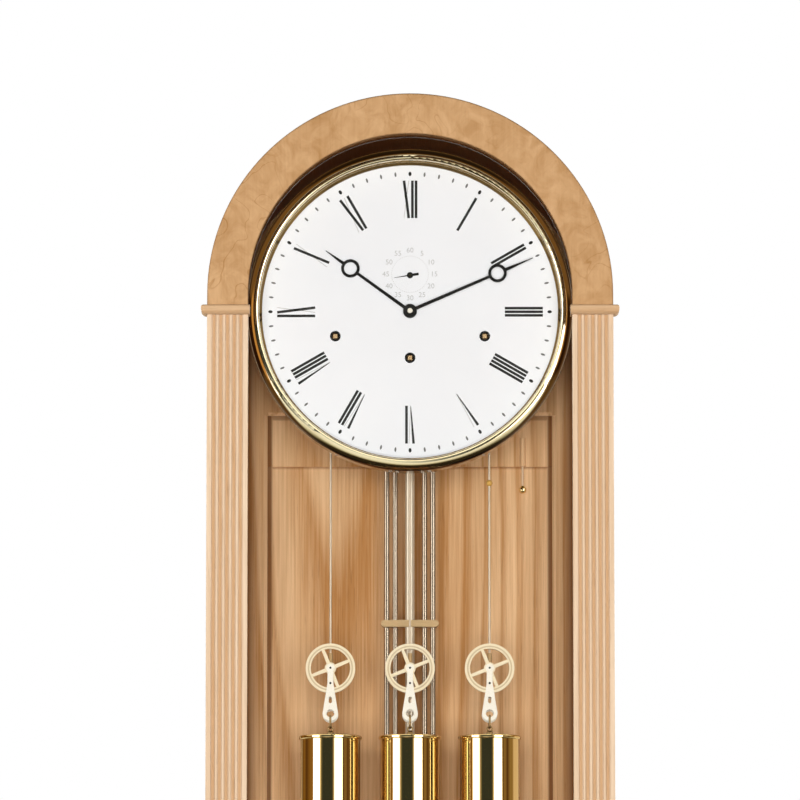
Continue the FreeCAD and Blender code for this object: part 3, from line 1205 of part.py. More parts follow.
def build_pendulum():
    rods = []
    side_rods = [side * x for x in (INNER_ROD_X, OUTER_ROD_X) for side in (-1, 1)]
    top = Z_TOP_BRIDGE
    low = Z_BOTTOM_BRIDGE + BRIDGE_H
    for x in side_rods:
        rods.append(rod_z(SIDE_ROD_R, x, Y_PEND, low, top))
    tail = Z_BOB - BOB_R - ROD_TAIL
    rods.append(rod_z(CENTRE_ROD_R, 0, Y_PEND, tail, top))
    lug = COCK_LUG_GAP / 2 + COCK_LUG_T
    pin = rod_y(SUSPENSION_PIN_R, 0, Z_PIVOT, Y_PEND - lug - LOOSE_FIT, Y_PEND + lug + LOOSE_FIT)
    spring_low = Z_PIVOT - SUSPENSION_L
    strip = box(-SUSPENSION_T / 2, SUSPENSION_T / 2, Y_PEND - SUSPENSION_W / 2, Y_PEND + SUSPENSION_W / 2,
                spring_low, Z_PIVOT)
    rods.append(union(pin, strip))
    rods.append(box(-CHOPS_HALF_W, CHOPS_HALF_W, Y_PEND - SUSPENSION_W / 2, Y_PEND + SUSPENSION_W / 2,
                    spring_low - CHOPS_H, spring_low))

    through = [(x, SIDE_ROD_R) for x in side_rods] + [(0, CENTRE_ROD_R)]
    bridges = [
        build_bridge(Z_TOP_BRIDGE, []),
        build_bridge(Z_MID_BRIDGE, through),
        build_bridge(Z_BOTTOM_BRIDGE, [(0, CENTRE_ROD_R)]),
    ]

    half = BOB_T / 2
    rim = BOB_RIM_T / 2
    bulge = BOB_R / 2
    sagitta = half - rim
    radius = (BOB_R ** 2 + sagitta ** 2) / (2 * sagitta)
    depth = half - radius + math.sqrt(radius ** 2 - bulge ** 2)
    points = [V(r, Y_PEND + y, Z_BOB) for r, y in (
        (0, -half), (bulge, -depth), (BOB_R, -rim), (BOB_R, rim), (bulge, depth), (0, half))]
    outline = Part.Wire([
        Part.Arc(points[0], points[1], points[2]).toShape(),
        Part.LineSegment(points[2], points[3]).toShape(),
        Part.Arc(points[3], points[4], points[5]).toShape(),
        Part.LineSegment(points[5], points[0]).toShape(),
    ])
    bob = Part.Face(outline).revolve(V(0, Y_PEND, Z_BOB), Y_AXIS, 360)
    bob = bob.cut(rod_z(CENTRE_ROD_R + BOB_BORE_FIT, 0, Y_PEND, Z_BOB - 2 * BOB_R, Z_BOB + 2 * BOB_R))

    nut_top = Z_BOB - BOB_R - LOOSE_FIT
    nut = rod_z(RATING_NUT_R, 0, Y_PEND, nut_top - RATING_NUT_H, nut_top)
    below = nut_top - RATING_NUT_H - OVERRUN
    above = nut_top + OVERRUN
    nut = nut.cut(rod_z(CENTRE_ROD_R + RUN_FIT, 0, Y_PEND, below, above))
    for notch in range(RATING_NOTCHES):
        angle = 2 * math.pi * notch / RATING_NOTCHES
        x = RATING_NUT_R * math.cos(angle)
        y = Y_PEND + RATING_NUT_R * math.sin(angle)
        nut = nut.cut(rod_z(RATING_NOTCH_R, x, y, below, above))
    return {"pendulum_rods": rods, "pendulum_bridges": bridges, "pendulum_bob": [bob], "rating_nut": [nut]}


def build_bells():
    plate = box(-BELL_PLATE_HALF_W, BELL_PLATE_HALF_W, Y_FRONT_PLATE, Y_PLATES_END, Z_PLATE_TOP, Z_BELL_PLATE)
    past = BELL_PLATE_HALF_W + OVERRUN
    bore = rod_x(HAMMER_ARBOR_R + RUN_FIT, Y_HAMMER, Z_HAMMER, -past, past)
    stand = [plate]
    for side in (-1, 1):
        x0, x1 = sorted((side * BELL_PLATE_HALF_W, side * (BELL_PLATE_HALF_W - HAMMER_LUG_T)))
        stand.append(box(x0, x1, Y_PLATES_END, Y_HAMMER + HAMMER_LUG_HALF,
                         Z_PLATE_TOP, Z_HAMMER + HAMMER_LUG_HALF))
    stand = [union(stand[0], *stand[1:]).cut(bore)]
    bells = []
    arbor_half = BELL_PLATE_HALF_W - HAMMER_LUG_T / 2
    hammers = [rod_x(HAMMER_ARBOR_R, Y_HAMMER, Z_HAMMER, -arbor_half, arbor_half)]
    head_z = Z_HAMMER + HAMMER_ARM_L
    for place, radius in enumerate(BELL_RADII):
        x = (place - (len(BELL_RADII) - 1) / 2) * BELL_PITCH
        y = Y_BELLS - radius
        shell = Part.makeSphere(radius, V(x, y, Z_BELLS), Z_AXIS, 0, 90, 360)
        shell = shell.cut(Part.makeSphere(radius - BELL_WALL, V(x, y, Z_BELLS)))
        bells.append(shell.cut(rod_z(BELL_POST_R + JOINT_FIT, x, y, Z_BELLS, Z_BELLS + 2 * radius)))
        crown = Z_BELLS + radius
        post = union(
            rod_z(BELL_NUT_R, x, y, Z_BELL_PLATE, crown - 2 * BELL_WALL),
            rod_z(BELL_POST_R, x, y, Z_BELL_PLATE, crown + JOINT_FIT),
            rod_z(BELL_NUT_R, x, y, crown + JOINT_FIT, crown + BELL_NUT_H))
        stand.append(post)
        hammers.append(rod_z(HAMMER_ARM_R, x, Y_HAMMER, Z_HAMMER, head_z))
        face = Y_BELLS + HAMMER_STANDOFF
        hammers.append(rod_y(HAMMER_HEAD_R, x, head_z, face, Y_HAMMER + HAMMER_HEAD_R / 2))
    return {"bells": stand + bells, "hammers": [union(hammers[0], *hammers[1:])]}


def build_pull_cord():
    cord_low = Z_BATTEN - PULL_SHOW
    cord = rod_z(PULL_CORD_R, PULL_X, Y_PULL, cord_low, Z_BATTEN + PULL_HIDE)
    bead = Part.makeSphere(PULL_BEAD_R, V(PULL_X, Y_PULL, cord_low))
    return {"pull_cord": [cord.cut(bead), bead]}


def main():
    os.makedirs("parts", exist_ok=True)
    nodes = {}
    for build in (build_plinth, build_trunk, build_door, build_hinges, build_latch, build_dial, build_hands,
                  build_motion_work, build_train, build_anchor, build_frame, build_weights, build_pendulum,
                  build_bells, build_pull_cord):
        nodes.update(build())
    for name, solids in nodes.items():
        shape = solids[0] if len(solids) == 1 else Part.makeCompound(solids)
        shape.exportStep(os.path.join("parts", name + ".step"))
    print("%d nodes, %d solids" % (len(nodes), sum(len(solids) for solids in nodes.values())))


if __name__ == "__main__":
    main()
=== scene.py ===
# %% [markdown]
# # A tall clock in an arched oak case
# The solids of the clock were built in millimetres and packed with their joints. Here they get
# their looks: oak, brass, enamel, glass, ink and twisted line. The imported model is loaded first
# and stays where it is, so every new piece can be placed by the same numbers, in metres, with the
# floor at Z = 0 and the door looking along -Y.

# %% Load the frame
import math
import bmesh
import bpy
from mathutils import Matrix, Vector


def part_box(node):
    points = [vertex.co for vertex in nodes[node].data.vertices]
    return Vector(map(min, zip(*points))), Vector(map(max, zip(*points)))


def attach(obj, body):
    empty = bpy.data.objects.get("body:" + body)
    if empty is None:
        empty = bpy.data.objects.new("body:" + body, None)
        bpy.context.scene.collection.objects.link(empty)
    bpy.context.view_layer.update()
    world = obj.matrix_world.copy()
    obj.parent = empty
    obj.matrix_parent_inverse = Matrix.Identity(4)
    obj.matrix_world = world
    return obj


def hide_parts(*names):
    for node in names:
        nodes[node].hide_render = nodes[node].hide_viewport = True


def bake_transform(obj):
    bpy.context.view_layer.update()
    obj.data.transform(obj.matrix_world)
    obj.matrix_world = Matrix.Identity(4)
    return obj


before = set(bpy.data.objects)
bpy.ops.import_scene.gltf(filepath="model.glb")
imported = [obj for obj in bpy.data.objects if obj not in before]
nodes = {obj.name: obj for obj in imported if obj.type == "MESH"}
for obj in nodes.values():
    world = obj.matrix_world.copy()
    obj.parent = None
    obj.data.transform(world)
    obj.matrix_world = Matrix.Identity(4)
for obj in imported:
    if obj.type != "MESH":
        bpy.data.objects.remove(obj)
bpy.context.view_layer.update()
scene = bpy.context.scene


def put(name, data):
    """A new object in the scene."""
    thing = bpy.data.objects.new(name, data)
    scene.collection.objects.link(thing)
    return thing


def principled(tree):
    return next(node for node in tree.nodes if node.type == "BSDF_PRINCIPLED")


# %% [markdown]
# ## Camera
# The photograph looks slightly up at the top of the clock from far away, as a product picture
# does: the sides of the case hardly show, and only the soffit of the arch gives the low viewpoint
# away. A long lens seven metres from the door copies that. A nearer camera with a short lens
# would frame the same part, but it would spread the sides.

# %% Camera
AIM = Vector((-0.0102, -0.140, 1.6385))
PITCH = math.radians(7.5)
CAMERA_DISTANCE = 7.0
LENS = 315.0
SENSOR = 36.0

camera_data = bpy.data.cameras.new("camera")
camera_data.sensor_width = SENSOR
camera_data.lens = LENS
camera = put("camera", camera_data)
camera.location = AIM - CAMERA_DISTANCE * Vector((0, math.cos(PITCH), math.sin(PITCH)))
camera.rotation_euler = (math.pi / 2 + PITCH, 0, 0)
scene.camera = camera
print("camera at", tuple(round(v, 3) for v in camera.location))

# %% [markdown]
# ## Writing nodes as sums
# Finishes and repeated shapes are node trees. Placing every node by hand in code is long and hard
# to read, so one small class wraps a socket: adding or multiplying two of them adds the Math
# node, and any other node comes from `add`.

# %% A socket that can be used in sums
def operator(operation, swapped=False):
    """A method that adds a Math node to the tree."""
    def method(self, other):
        return self.sum(operation, other, self) if swapped else self.sum(operation, self, other)
    return method


class Wire:
    """One output socket of a node tree."""

    def __init__(self, tree, socket=None):
        self.tree = tree
        self.socket = socket

    def add(self, kind, settings=(), links=(), out=0):
        node = self.tree.nodes.new(kind)
        for name, value in dict(settings).items():
            if name == "stops":
                lay_stops(node.color_ramp, value)
            else:
                setattr(node, name, value)
        for key, value in dict(links).items():
            if isinstance(value, Wire):
                self.tree.links.new(value.socket, node.inputs[key])
            else:
                node.inputs[key].default_value = value
        return Wire(self.tree, node.outputs[out])

    def beside(self, out):
        """Another output of the same node."""
        return Wire(self.tree, self.socket.node.outputs[out])

    def sum(self, operation, a, b=0.0):
        return self.add("ShaderNodeMath", {"operation": operation}, {0: a, 1: b})

    def __abs__(self):
        return self.sum("ABSOLUTE", self)

    __add__ = operator("ADD")
    __radd__ = operator("ADD", swapped=True)
    __sub__ = operator("SUBTRACT")
    __rsub__ = operator("SUBTRACT", swapped=True)
    __mul__ = operator("MULTIPLY")
    __rmul__ = operator("MULTIPLY", swapped=True)
    __truediv__ = operator("DIVIDE")


def lay_stops(ramp, stops):
    """Sets a colour ramp's stops, each a place from 0 to 1 and a colour."""
    while len(ramp.elements) > 1:
        ramp.elements.remove(ramp.elements[-1])
    for index, (place, colour) in enumerate(stops):
        stop = ramp.elements[0] if index == 0 else ramp.elements.new(place)
        stop.position = place
        stop.color = colour


print("sockets add, subtract, multiply and divide")

# %% [markdown]
# ## Colours and shaders
# A colour is easiest to judge as the numbers a picture shows, from 0 to 255. Blender works in
# linear light, so one function turns the first into the second. Each finish is one Principled
# shader: what is the same all over is set on it, and what varies over the surface is linked to
# it.

# %% Colour and finish helpers
def shade(red, green, blue):
    """A linear colour from the 0 to 255 values that it should show."""
    def linear(value):
        value /= 255
        return value / 12.92 if value <= 0.04045 else ((value + 0.055) / 1.055) ** 2.4
    return linear(red), linear(green), linear(blue), 1.0


def finish(name, varies, **fixed):
    """A material: fixed values by socket name, and varies(start) gives the linked ones."""
    material = bpy.data.materials.new(name)
    material.use_nodes = True
    tree = material.node_tree
    shader = principled(tree)
    for key, value in fixed.items():
        shader.inputs[key.replace("_", " ")].default_value = value
    for key, wire in varies(Wire(tree)).items():
        tree.links.new(wire.socket, shader.inputs[key])
    return material


def on_object(start):
    return start.add("ShaderNodeTexCoord", out="Object")


def split(vector):
    """The X of a vector, with its Y and Z beside it."""
    return vector.add("ShaderNodeSeparateXYZ", {}, {0: vector})


def place_on(start):
    return split(on_object(start))


def stretch(coords, scale, turn=(0.0, 0.0, 0.0)):
    return coords.add("ShaderNodeMapping", {}, {"Vector": coords, "Scale": scale, "Rotation": turn})


def noise(coords, scale, detail=2.0, rough=0.5, distortion=0.0):
    return coords.add("ShaderNodeTexNoise", {}, {
        "Vector": coords, "Scale": scale, "Detail": detail, "Roughness": rough,
        "Distortion": distortion})


def streaks(coords, scale, detail=2.0, rough=0.5, distortion=0.0):
    """Noise with its own scale along each axis."""
    return noise(stretch(coords, scale), 1, detail, rough, distortion)


def spread(value, low, high, to_low=0.0, to_high=1.0):
    """Value from low..high to to_low..to_high, clamped."""
    return value.add("ShaderNodeMapRange", {"clamp": True}, {
        "Value": value, "From Min": low, "From Max": high, "To Min": to_low, "To Max": to_high})


def fall(value, low, high):
    return spread(value, low, high, 1.0, 0.0)


def swing(value, low, high):
    """From low to high as a noise swings, most of which lies between 0.3 and 0.7."""
    return spread(value, 0.3, 0.7, low, high)


def larger(first, second):
    return first.sum("MAXIMUM", first, second)


def times(vector, factor):
    return vector.add("ShaderNodeVectorMath", {"operation": "SCALE"}, {0: vector, "Scale": factor})


def distance(across, along):
    """Length of the flat vector (across, along)."""
    flat = across.add("ShaderNodeCombineXYZ", {}, {0: across, 1: along, 2: 0.0})
    return across.add("ShaderNodeVectorMath", {"operation": "LENGTH"}, {0: flat}, out="Value")


def ramp(value, *stops):
    return value.add("ShaderNodeValToRGB", {"stops": stops}, {"Fac": value})


def mixed(factor, first, second):
    return factor.add("ShaderNodeMix", {"data_type": "RGBA"}, {
        0: factor, 6: first, 7: second}, out=2)


def bumped(height, depth, strength):
    return height.add("ShaderNodeBump", {}, {
        "Height": height, "Distance": depth, "Strength": strength})


def worn(name, scale, detail, dark, pale, rough=None, relief=None, **fixed):
    """A plain finish that one noise varies: in colour, and in roughness or relief."""
    def varies(start):
        place = on_object(start)
        stretched = isinstance(scale, tuple)
        grain = streaks(place, scale, detail) if stretched else noise(place, scale, detail)
        linked = {"Base Color": mixed(grain, shade(*dark), shade(*pale))}
        if rough:
            linked["Roughness"] = swing(grain, *rough)
        if relief:
            linked["Normal"] = bumped(grain, *relief)
        return linked
    return finish(name, varies, **fixed)


print("a mid grey of 128 is", round(shade(128, 128, 128)[0], 3), "in linear light")

# %% [markdown]
# ## Trees that grow meshes
# Twisted line, minute marks and screws repeat one small form along a path or a ring. Geometry
# Nodes do that from a few named sizes. Each tree ends by making its instances real and giving
# them a material, and the result is turned into a plain mesh, because the finished piece has to
# stand without its modifier.

# %% Geometry helpers
def open_tree(name, **inputs):
    """A geometry tree with named inputs, and a Wire for each of them."""
    tree = bpy.data.node_groups.new(name, "GeometryNodeTree")
    tree.interface.new_socket("Geometry", in_out="INPUT", socket_type="NodeSocketGeometry")
    for label, kind in inputs.items():
        tree.interface.new_socket(label, in_out="INPUT", socket_type="NodeSocket" + kind)
    tree.interface.new_socket("Geometry", in_out="OUTPUT", socket_type="NodeSocketGeometry")
    entry = tree.nodes.new("NodeGroupInput")
    return tree, {socket.name: Wire(tree, socket) for socket in entry.outputs if socket.name}


def close_tree(tree, shape, material):
    real = shape.add("GeometryNodeRealizeInstances", {}, {0: shape})
    painted = real.add("GeometryNodeSetMaterial", {}, {"Geometry": real, "Material": material})
    leave = tree.nodes.new("NodeGroupOutput")
    tree.links.new(painted.socket, leave.inputs[0])
    return tree


def as_mesh(thing):
    """The object's evaluated shape as a mesh of its own."""
    graph = bpy.context.evaluated_depsgraph_get()
    return bpy.data.meshes.new_from_object(thing.evaluated_get(graph), depsgraph=graph)


def mesh_of(data):
    """A curve or a text as a mesh."""
    helper = put("helper", data)
    mesh = as_mesh(helper)
    bpy.data.objects.remove(helper)
    return mesh


def settled(shape, name):
    """The mesh of a finished bmesh."""
    mesh = bpy.data.meshes.new(name)
    shape.to_mesh(mesh)
    shape.free()
    return mesh


def grow(name, mesh, tree, **values):
    """A plain mesh piece made by the tree from mesh and the named sizes."""
    piece = put(name, mesh)
    modifier = piece.modifiers.new("grow", "NODES")
    modifier.node_group = tree
    for item in tree.interface.items_tree:
        if item.in_out == "INPUT" and item.name in values:
            modifier[item.identifier] = values[item.name]
    made = as_mesh(piece)
    piece.modifiers.clear()
    piece.data = made
    made.name = name
    print(name, len(made.polygons), "faces")
    return piece


def points_mesh(name, points):
    mesh = bpy.data.meshes.new(name)
    mesh.from_pydata([tuple(p) for p in points], [], [])
    return mesh


print("a tree is opened, closed and grown into a mesh")

# %% [markdown]
# ## Twisted line
# A weight hangs on a steel line of many thin wires laid together, and the pull cord is three-ply
# cotton. Both are a round section with grooves, turned as it goes along. The section could be
# modelled once and arrayed, but a tree that sweeps it along a smooth route and adds tilt by
# length serves every line, whatever its route.

# %% Tree: twisted line
STEPS_PER_TURN = 10


def twisted_tree():
    tree, given = open_tree("twisted_line", Radius="Float", Pitch="Float", Strands="Float",
                            Groove="Float", Material="Material")
    start = Wire(tree)
    route = start.add("GeometryNodeMeshToCurve", {}, {"Mesh": given["Geometry"]})
    even = start.add("GeometryNodeResampleCurve", {"mode": "LENGTH"}, {
        "Curve": route, "Length": given["Pitch"] / STEPS_PER_TURN})
    along = start.add("GeometryNodeSplineParameter", out="Length")
    wound = start.add("GeometryNodeSetCurveTilt", {}, {
        "Curve": even, "Tilt": along / given["Pitch"] * (2 * math.pi)})
    ring = start.add("GeometryNodeCurvePrimitiveCircle", {"mode": "RADIUS"}, {
        "Resolution": 20, "Radius": 1.0})
    place = start.add("GeometryNodeInputPosition")
    across = split(place)
    angle = start.sum("ARCTAN2", across.beside("Y"), across)
    swell = abs(start.sum("COSINE", angle * given["Strands"] / 2))
    reach = given["Radius"] * (1 - given["Groove"] * (1 - swell))
    section = start.add("GeometryNodeSetPosition", {}, {
        "Geometry": ring, "Position": times(place, reach)})
    swept = start.add("GeometryNodeCurveToMesh", {}, {
        "Curve": wound, "Profile Curve": section, "Fill Caps": True})
    return close_tree(tree, swept, given["Material"])


TWISTED_LINE = twisted_tree()


def smooth_route(points):
    """Edges along the NURBS line of a route, as Blender evaluates it."""
    data = bpy.data.curves.new("route", "CURVE")
    data.dimensions = "3D"
    spline = data.splines.new("NURBS")
    spline.points.add(len(points) - 1)
    for point, place in zip(spline.points, points):
        point.co = (*place, 1.0)
    spline.order_u = 3
    spline.use_endpoint_u = True
    data.resolution_u = 8
    return mesh_of(data)


print("twisted line inputs:", [item.name for item in TWISTED_LINE.interface.items_tree])

# %% [markdown]
# ## Cotton and wire
# The pull cord is undyed cotton, the weight lines are bright wire that has picked up the warm
# colour of the case. Both have their twist in the mesh, so the finish only adds soft unevenness:
# darker fibres on the cotton, dulled strands on the wire.

# %% Finishes: cotton cord and wire line
COTTON = worn("cotton_cord", 1400, 3, (205, 170, 128), (240, 218, 188), relief=(0.0003, 0.5),
              Roughness=0.9)
WIRE = worn("wire_line", (900, 900, 120), 2, (192, 172, 146), (230, 216, 194), rough=(0.32, 0.5),
            Metallic=0.45)
print(COTTON.name, WIRE.name)

# %% [markdown]
# ## Pull cord
# A short cord hangs from the batten on the back panel and ends in a small turned brass bead. It
# is a limp cord about fifty millimetres long, most of it in its guide, so its route is a plumb
# line. The bead is turned, as on a lathe: half a profile spun round the cord.

# %% Pull cord and its bead
PULL_LOW, PULL_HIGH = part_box("pull_cord")
PULL_X = (PULL_LOW.x + PULL_HIGH.x) / 2
PULL_Y = (PULL_LOW.y + PULL_HIGH.y) / 2
PULL_R = 0.0012
BEAD_R = (PULL_HIGH.x - PULL_LOW.x) / 2
BEAD_Z = PULL_LOW.z + BEAD_R


def add_piece(name, mesh, *materials):
    for material in materials:
        mesh.materials.append(material)
    return put(name, mesh)


def turned(name, profile, centre, material, steps=40):
    """A piece turned about the upright axis through centre, from (radius, height) pairs."""
    shape = bmesh.new()
    rows = []
    for radius, height in profile:
        if radius < 1e-6:
            rows.append([shape.verts.new((centre[0], centre[1], centre[2] + height))])
            continue
        row = []
        for step in range(steps):
            angle = 2 * math.pi * step / steps
            row.append(shape.verts.new((centre[0] + radius * math.cos(angle),
                                        centre[1] + radius * math.sin(angle), centre[2] + height)))
        rows.append(row)
    for low, high in zip(rows, rows[1:]):
        for step in range(steps):
            corners = [low[step % len(low)], low[(step + 1) % len(low)],
                       high[(step + 1) % len(high)], high[step % len(high)]]
            shape.faces.new(list(dict.fromkeys(corners)))
    bmesh.ops.recalc_face_normals(shape, faces=shape.faces)
    mesh = settled(shape, name)
    mesh.shade_smooth()
    return add_piece(name, mesh, material)


CORD_STEP = 0.018
CORD_HEIGHTS = (PULL_HIGH.z, PULL_HIGH.z - CORD_STEP, BEAD_Z + CORD_STEP, BEAD_Z)
cord_route = smooth_route([(PULL_X, PULL_Y, z) for z in CORD_HEIGHTS])
pull_cord = grow("pull_cord_twist", cord_route, TWISTED_LINE, Radius=PULL_R, Pitch=0.0055,
                 Strands=3.0, Groove=0.3, Material=COTTON)
pull_cord.data.shade_smooth()
print("cord from", round(PULL_HIGH.z, 4), "to", round(BEAD_Z, 4))

# %% [markdown]
# ## Weight lines
# Each line comes out of a brass ferrule at the pulley, runs straight up through a bush in the
# bracket, leans over to its drum and goes part of the way round it. It is held at both ends and
# pulled tight by the weight, so it has no sag. The route's points are the corners of that run,
# and the part on the drum has a point every 30 degrees.

# %% Weight lines
LINE_R = 0.0012
LINE_Y = 0.026
LINE_LOW_Z = 1.39305
BUSH_Z = 1.6458
COIL_R = 0.0075
COIL_STEP = math.radians(30)
HALF_STEP_COSINE = 0.966
COIL_POINTS = 8
COIL_POINT_R = COIL_R / HALF_STEP_COSINE
LINE_ENDS = (LINE_LOW_Z, LINE_LOW_Z + 0.02, BUSH_Z - 0.012, BUSH_Z)
TRAINS = (  # name, barrel's x and z, line's x, way round the drum
    ("left", -0.076, 1.7187, -0.081, -1),
    ("centre", 0.0, 1.6965, 0.0, -1),
    ("right", 0.076, 1.7187, 0.081, 1),
)


def line_points(x, z, line_x, side):
    """The route's points: ferrule, bush, where the line meets the drum, and round the drum."""
    reach = math.hypot(x - line_x, z - BUSH_Z)
    heading = math.atan2(z - BUSH_Z, x - line_x) - side * math.asin(COIL_R / reach)
    run = math.sqrt(reach ** 2 - COIL_R ** 2)
    meet = Vector((line_x + run * math.cos(heading), LINE_Y, BUSH_Z + run * math.sin(heading)))
    first = math.atan2(meet.z - z, meet.x - x)
    points = [Vector((line_x, LINE_Y, height)) for height in LINE_ENDS]
    points.append(meet)
    for step in range(1, COIL_POINTS + 1):
        angle = first + side * COIL_STEP * (step - 0.5)
        points.append(Vector((x + COIL_POINT_R * math.cos(angle), LINE_Y,
                              z + COIL_POINT_R * math.sin(angle))))
    return points


for side_name, arbor_x, arbor_z, line_x, turn_way in TRAINS:
    route = smooth_route(line_points(arbor_x, arbor_z, line_x, turn_way))
    line = grow(side_name + "_line_twist", route, TWISTED_LINE, Radius=LINE_R, Pitch=0.009,
                Strands=6.0, Groove=0.22, Material=WIRE)
    line.data.shade_smooth()
    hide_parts(side_name + "_line")
    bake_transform(line)

# %% [markdown]
# ## Oak
# The case is pale waxed oak. Cut along the tree, it shows long fibres, short dark pores and the
# growth rings as slow streaks. A photograph wrapped round the case would show the same board
# everywhere, so the tree itself is described: a ring is the distance from an upright axis
# somewhere behind the board, bent a little by noise. The arch is sawn from curly wood, so in
# place of streaks it has a soft mottled figure with a few fine curved lines. Shade is painted
# into the colour in the flutes of the door, on the bead round the arch, inside the arch and the
# hood, in the corners of the case and along the back panel's frame and batten, and a painted
# highlight runs along the frame's inner edge, so a few masks say first where that is.

# %% Painted shade and highlight on the oak: sizes of the case
SHARP = 0.0004
ARCH_Z = 1.7465
ARCH_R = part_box("door_arch")[1].x
ARCH_EDGE = (0.0014, 0.0004)
EDGE_DEPTH = (0.001, 0.003)
DOOR_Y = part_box("door_left_stile")[0].y
FLUTE_EDGE = (0.1645, 0.2020)
FLUTE_FRONT = (0.0014, 0.0024)
FLUTE_BACK = (0.0026, 0.003)
HOOD_INSIDE_R = 0.1862
HOOD_SOFT = 0.001
REVEAL_R = 0.1634
REVEAL_DEPTH = 0.018
BEAD_RISE = 0.03
# Where painted shade and painted shadow lines fall on the back of the case.
SHADED_CORNER = (0.153, 0.169)
SEAM_HALF = 0.148
SEAM_TOP = 1.6587
SEAM_BATTEN = 1.6060
SIDE_SHADOW_BAND = (0.006, 0.0035)
TOP_SHADOW_BAND = (0.005, 0.003)
BATTEN_SHADOW_BAND = (0.003, 0.0008)
BATTEN_EDGE = 0.0002
HIGHLIGHT_BAND = (0.003, 0.004)
SHADED_MIDDLE = (0.02, 0.10)
print("arch about", ARCH_Z, "m, door front at", round(DOOR_Y, 4))


# %% Painted shade and highlight on the oak: masks
def rise_at(value, place):
    return spread(value, place, place + SHARP)


def fall_at(value, place):
    return fall(value, place - SHARP, place)


def rise_before(value, place, band):
    return spread(value, place - band[0], place - band[1])


def side_and_height(start):
    place = place_on(start)
    return abs(place), place.beside("Z")


def behind_front(start):
    return place_on(start).beside("Y") - DOOR_Y


def from_axis(start, height):
    """Distance from the middle axis at this height, which runs from front to back."""
    place = place_on(start)
    return distance(place, place.beside("Z") - height)


def flute_wax(start):
    """Painted shade: 1 at the bottom of a flute in the door's front, 0 on its sides and back."""
    side = abs(place_on(start))
    behind = behind_front(start)
    within = rise_at(side, FLUTE_EDGE[0]) * fall_at(side, FLUTE_EDGE[1])
    return within * spread(behind, *FLUTE_FRONT) * fall(behind, *FLUTE_BACK)


# Painted shade: the inside of the hood is darkened as if it were in shadow.
def hood_stain(start):
    return fall(from_axis(start, ARCH_Z), HOOD_INSIDE_R, HOOD_INSIDE_R + HOOD_SOFT)


def bead_stain(start):
    """Painted shade on the glazing bead where it goes round the arch."""
    return spread(place_on(start).beside("Z"), ARCH_Z - BEAD_RISE, ARCH_Z)


def arch_stain(start):
    """Painted shade inside the arch, darker the deeper it goes, and along its rounded outer edge.
    """
    out = from_axis(start, ARCH_Z)
    deep = behind_front(start)
    reveal = fall_at(out, REVEAL_R) * spread(deep, 0.0, REVEAL_DEPTH, 0.35, 1.0)
    edge = rise_before(out, ARCH_R, ARCH_EDGE) * spread(deep, *EDGE_DEPTH, 0.4, 0.0)
    return larger(reveal, edge)


def back_stain(start):
    """Painted shade in the case's corners and painted shadow lines by the panel's frame and batten.
    """
    side, high = side_and_height(start)
    near = spread(side, *SHADED_CORNER)
    inside = fall_at(side, SEAM_HALF)
    below = fall(high, SEAM_TOP, SEAM_TOP + SHARP)
    upright = rise_before(side, SEAM_HALF, SIDE_SHADOW_BAND) * inside * below
    level = rise_before(high, SEAM_TOP, TOP_SHADOW_BAND) * below * inside
    under = rise_before(high, SEAM_BATTEN, BATTEN_SHADOW_BAND) * inside
    under = under * fall(high, SEAM_BATTEN - BATTEN_EDGE, SEAM_BATTEN)
    seam_shadow = larger(upright * 0.8, larger(level, under) * 0.5)
    return larger(near * near, seam_shadow)


def frame_shade(start):
    """Painted shade on the stiles and mid panel, with a painted highlight along the stiles' inner
    edge.
    """
    side, high = side_and_height(start)
    below = fall(high, SEAM_TOP, SEAM_TOP + SHARP)
    inside = fall_at(side, SEAM_HALF)
    stile = rise_at(side, SEAM_HALF)
    highlight_side = stile * fall(side, SEAM_HALF + HIGHLIGHT_BAND[0], SEAM_HALF + HIGHLIGHT_BAND[1])
    highlight_top = rise_at(high, SEAM_TOP) * fall(high, SEAM_TOP + HIGHLIGHT_BAND[0], SEAM_TOP + HIGHLIGHT_BAND[1])
    highlighted = larger(highlight_side * below, highlight_top * inside)
    return spread(side, *SHADED_MIDDLE, 0.42, 0.0) + stile * 0.22 - highlighted * 0.45


# These masks paint shade into the oak.
print("stains for", [mask.__name__ for mask in (hood_stain, bead_stain, arch_stain, back_stain)])


# %% Finishes: oak
BEND = (5.0, 5.0, 1.1)
FIBRES = (420, 420, 7)
FINE = (1500, 1500, 30)
BROAD = (16, 16, 1.6)
PORES = (800, 800, 34)
MOTTLE = (46, 46, 40)
CURL = (30, 30, 30)
CURL_PATCH = (9, 9, 9)
PORE_BROWN = shade(120, 80, 46)
# The dark brown of painted shade inside the hood.
SHADE_BROWN = shade(118, 64, 18)


def along_grain(turn):
    """Object coordinates turned so that the grain runs along Z."""
    return lambda start: stretch(on_object(start), (1.0, 1.0, 1.0), turn)


def growth_rings(grain, pith, ring):
    """1 in the dark late wood of each ring, about a pith given as (across, behind)."""
    parts = split(grain)
    across = parts + streaks(grain, BEND, 2) * 0.07 - pith[0]
    behind = parts.beside("Y") - pith[1] + parts.beside("Z") * 0.03
    year = grain.sum("FRACT", distance(across, behind) / ring)
    return fall(year, 0.0, 0.55) + spread(year, 0.86, 1.0)


def curl_lines(grain):
    """Fine curved lines: where a slow noise passes one level."""
    slow = streaks(grain, CURL, 2, 0.4, 0.6)
    here = spread(streaks(grain, CURL_PATCH, 1), 0.45, 0.6)
    return fall(abs(slow - 0.52), 0.004, 0.012) * here


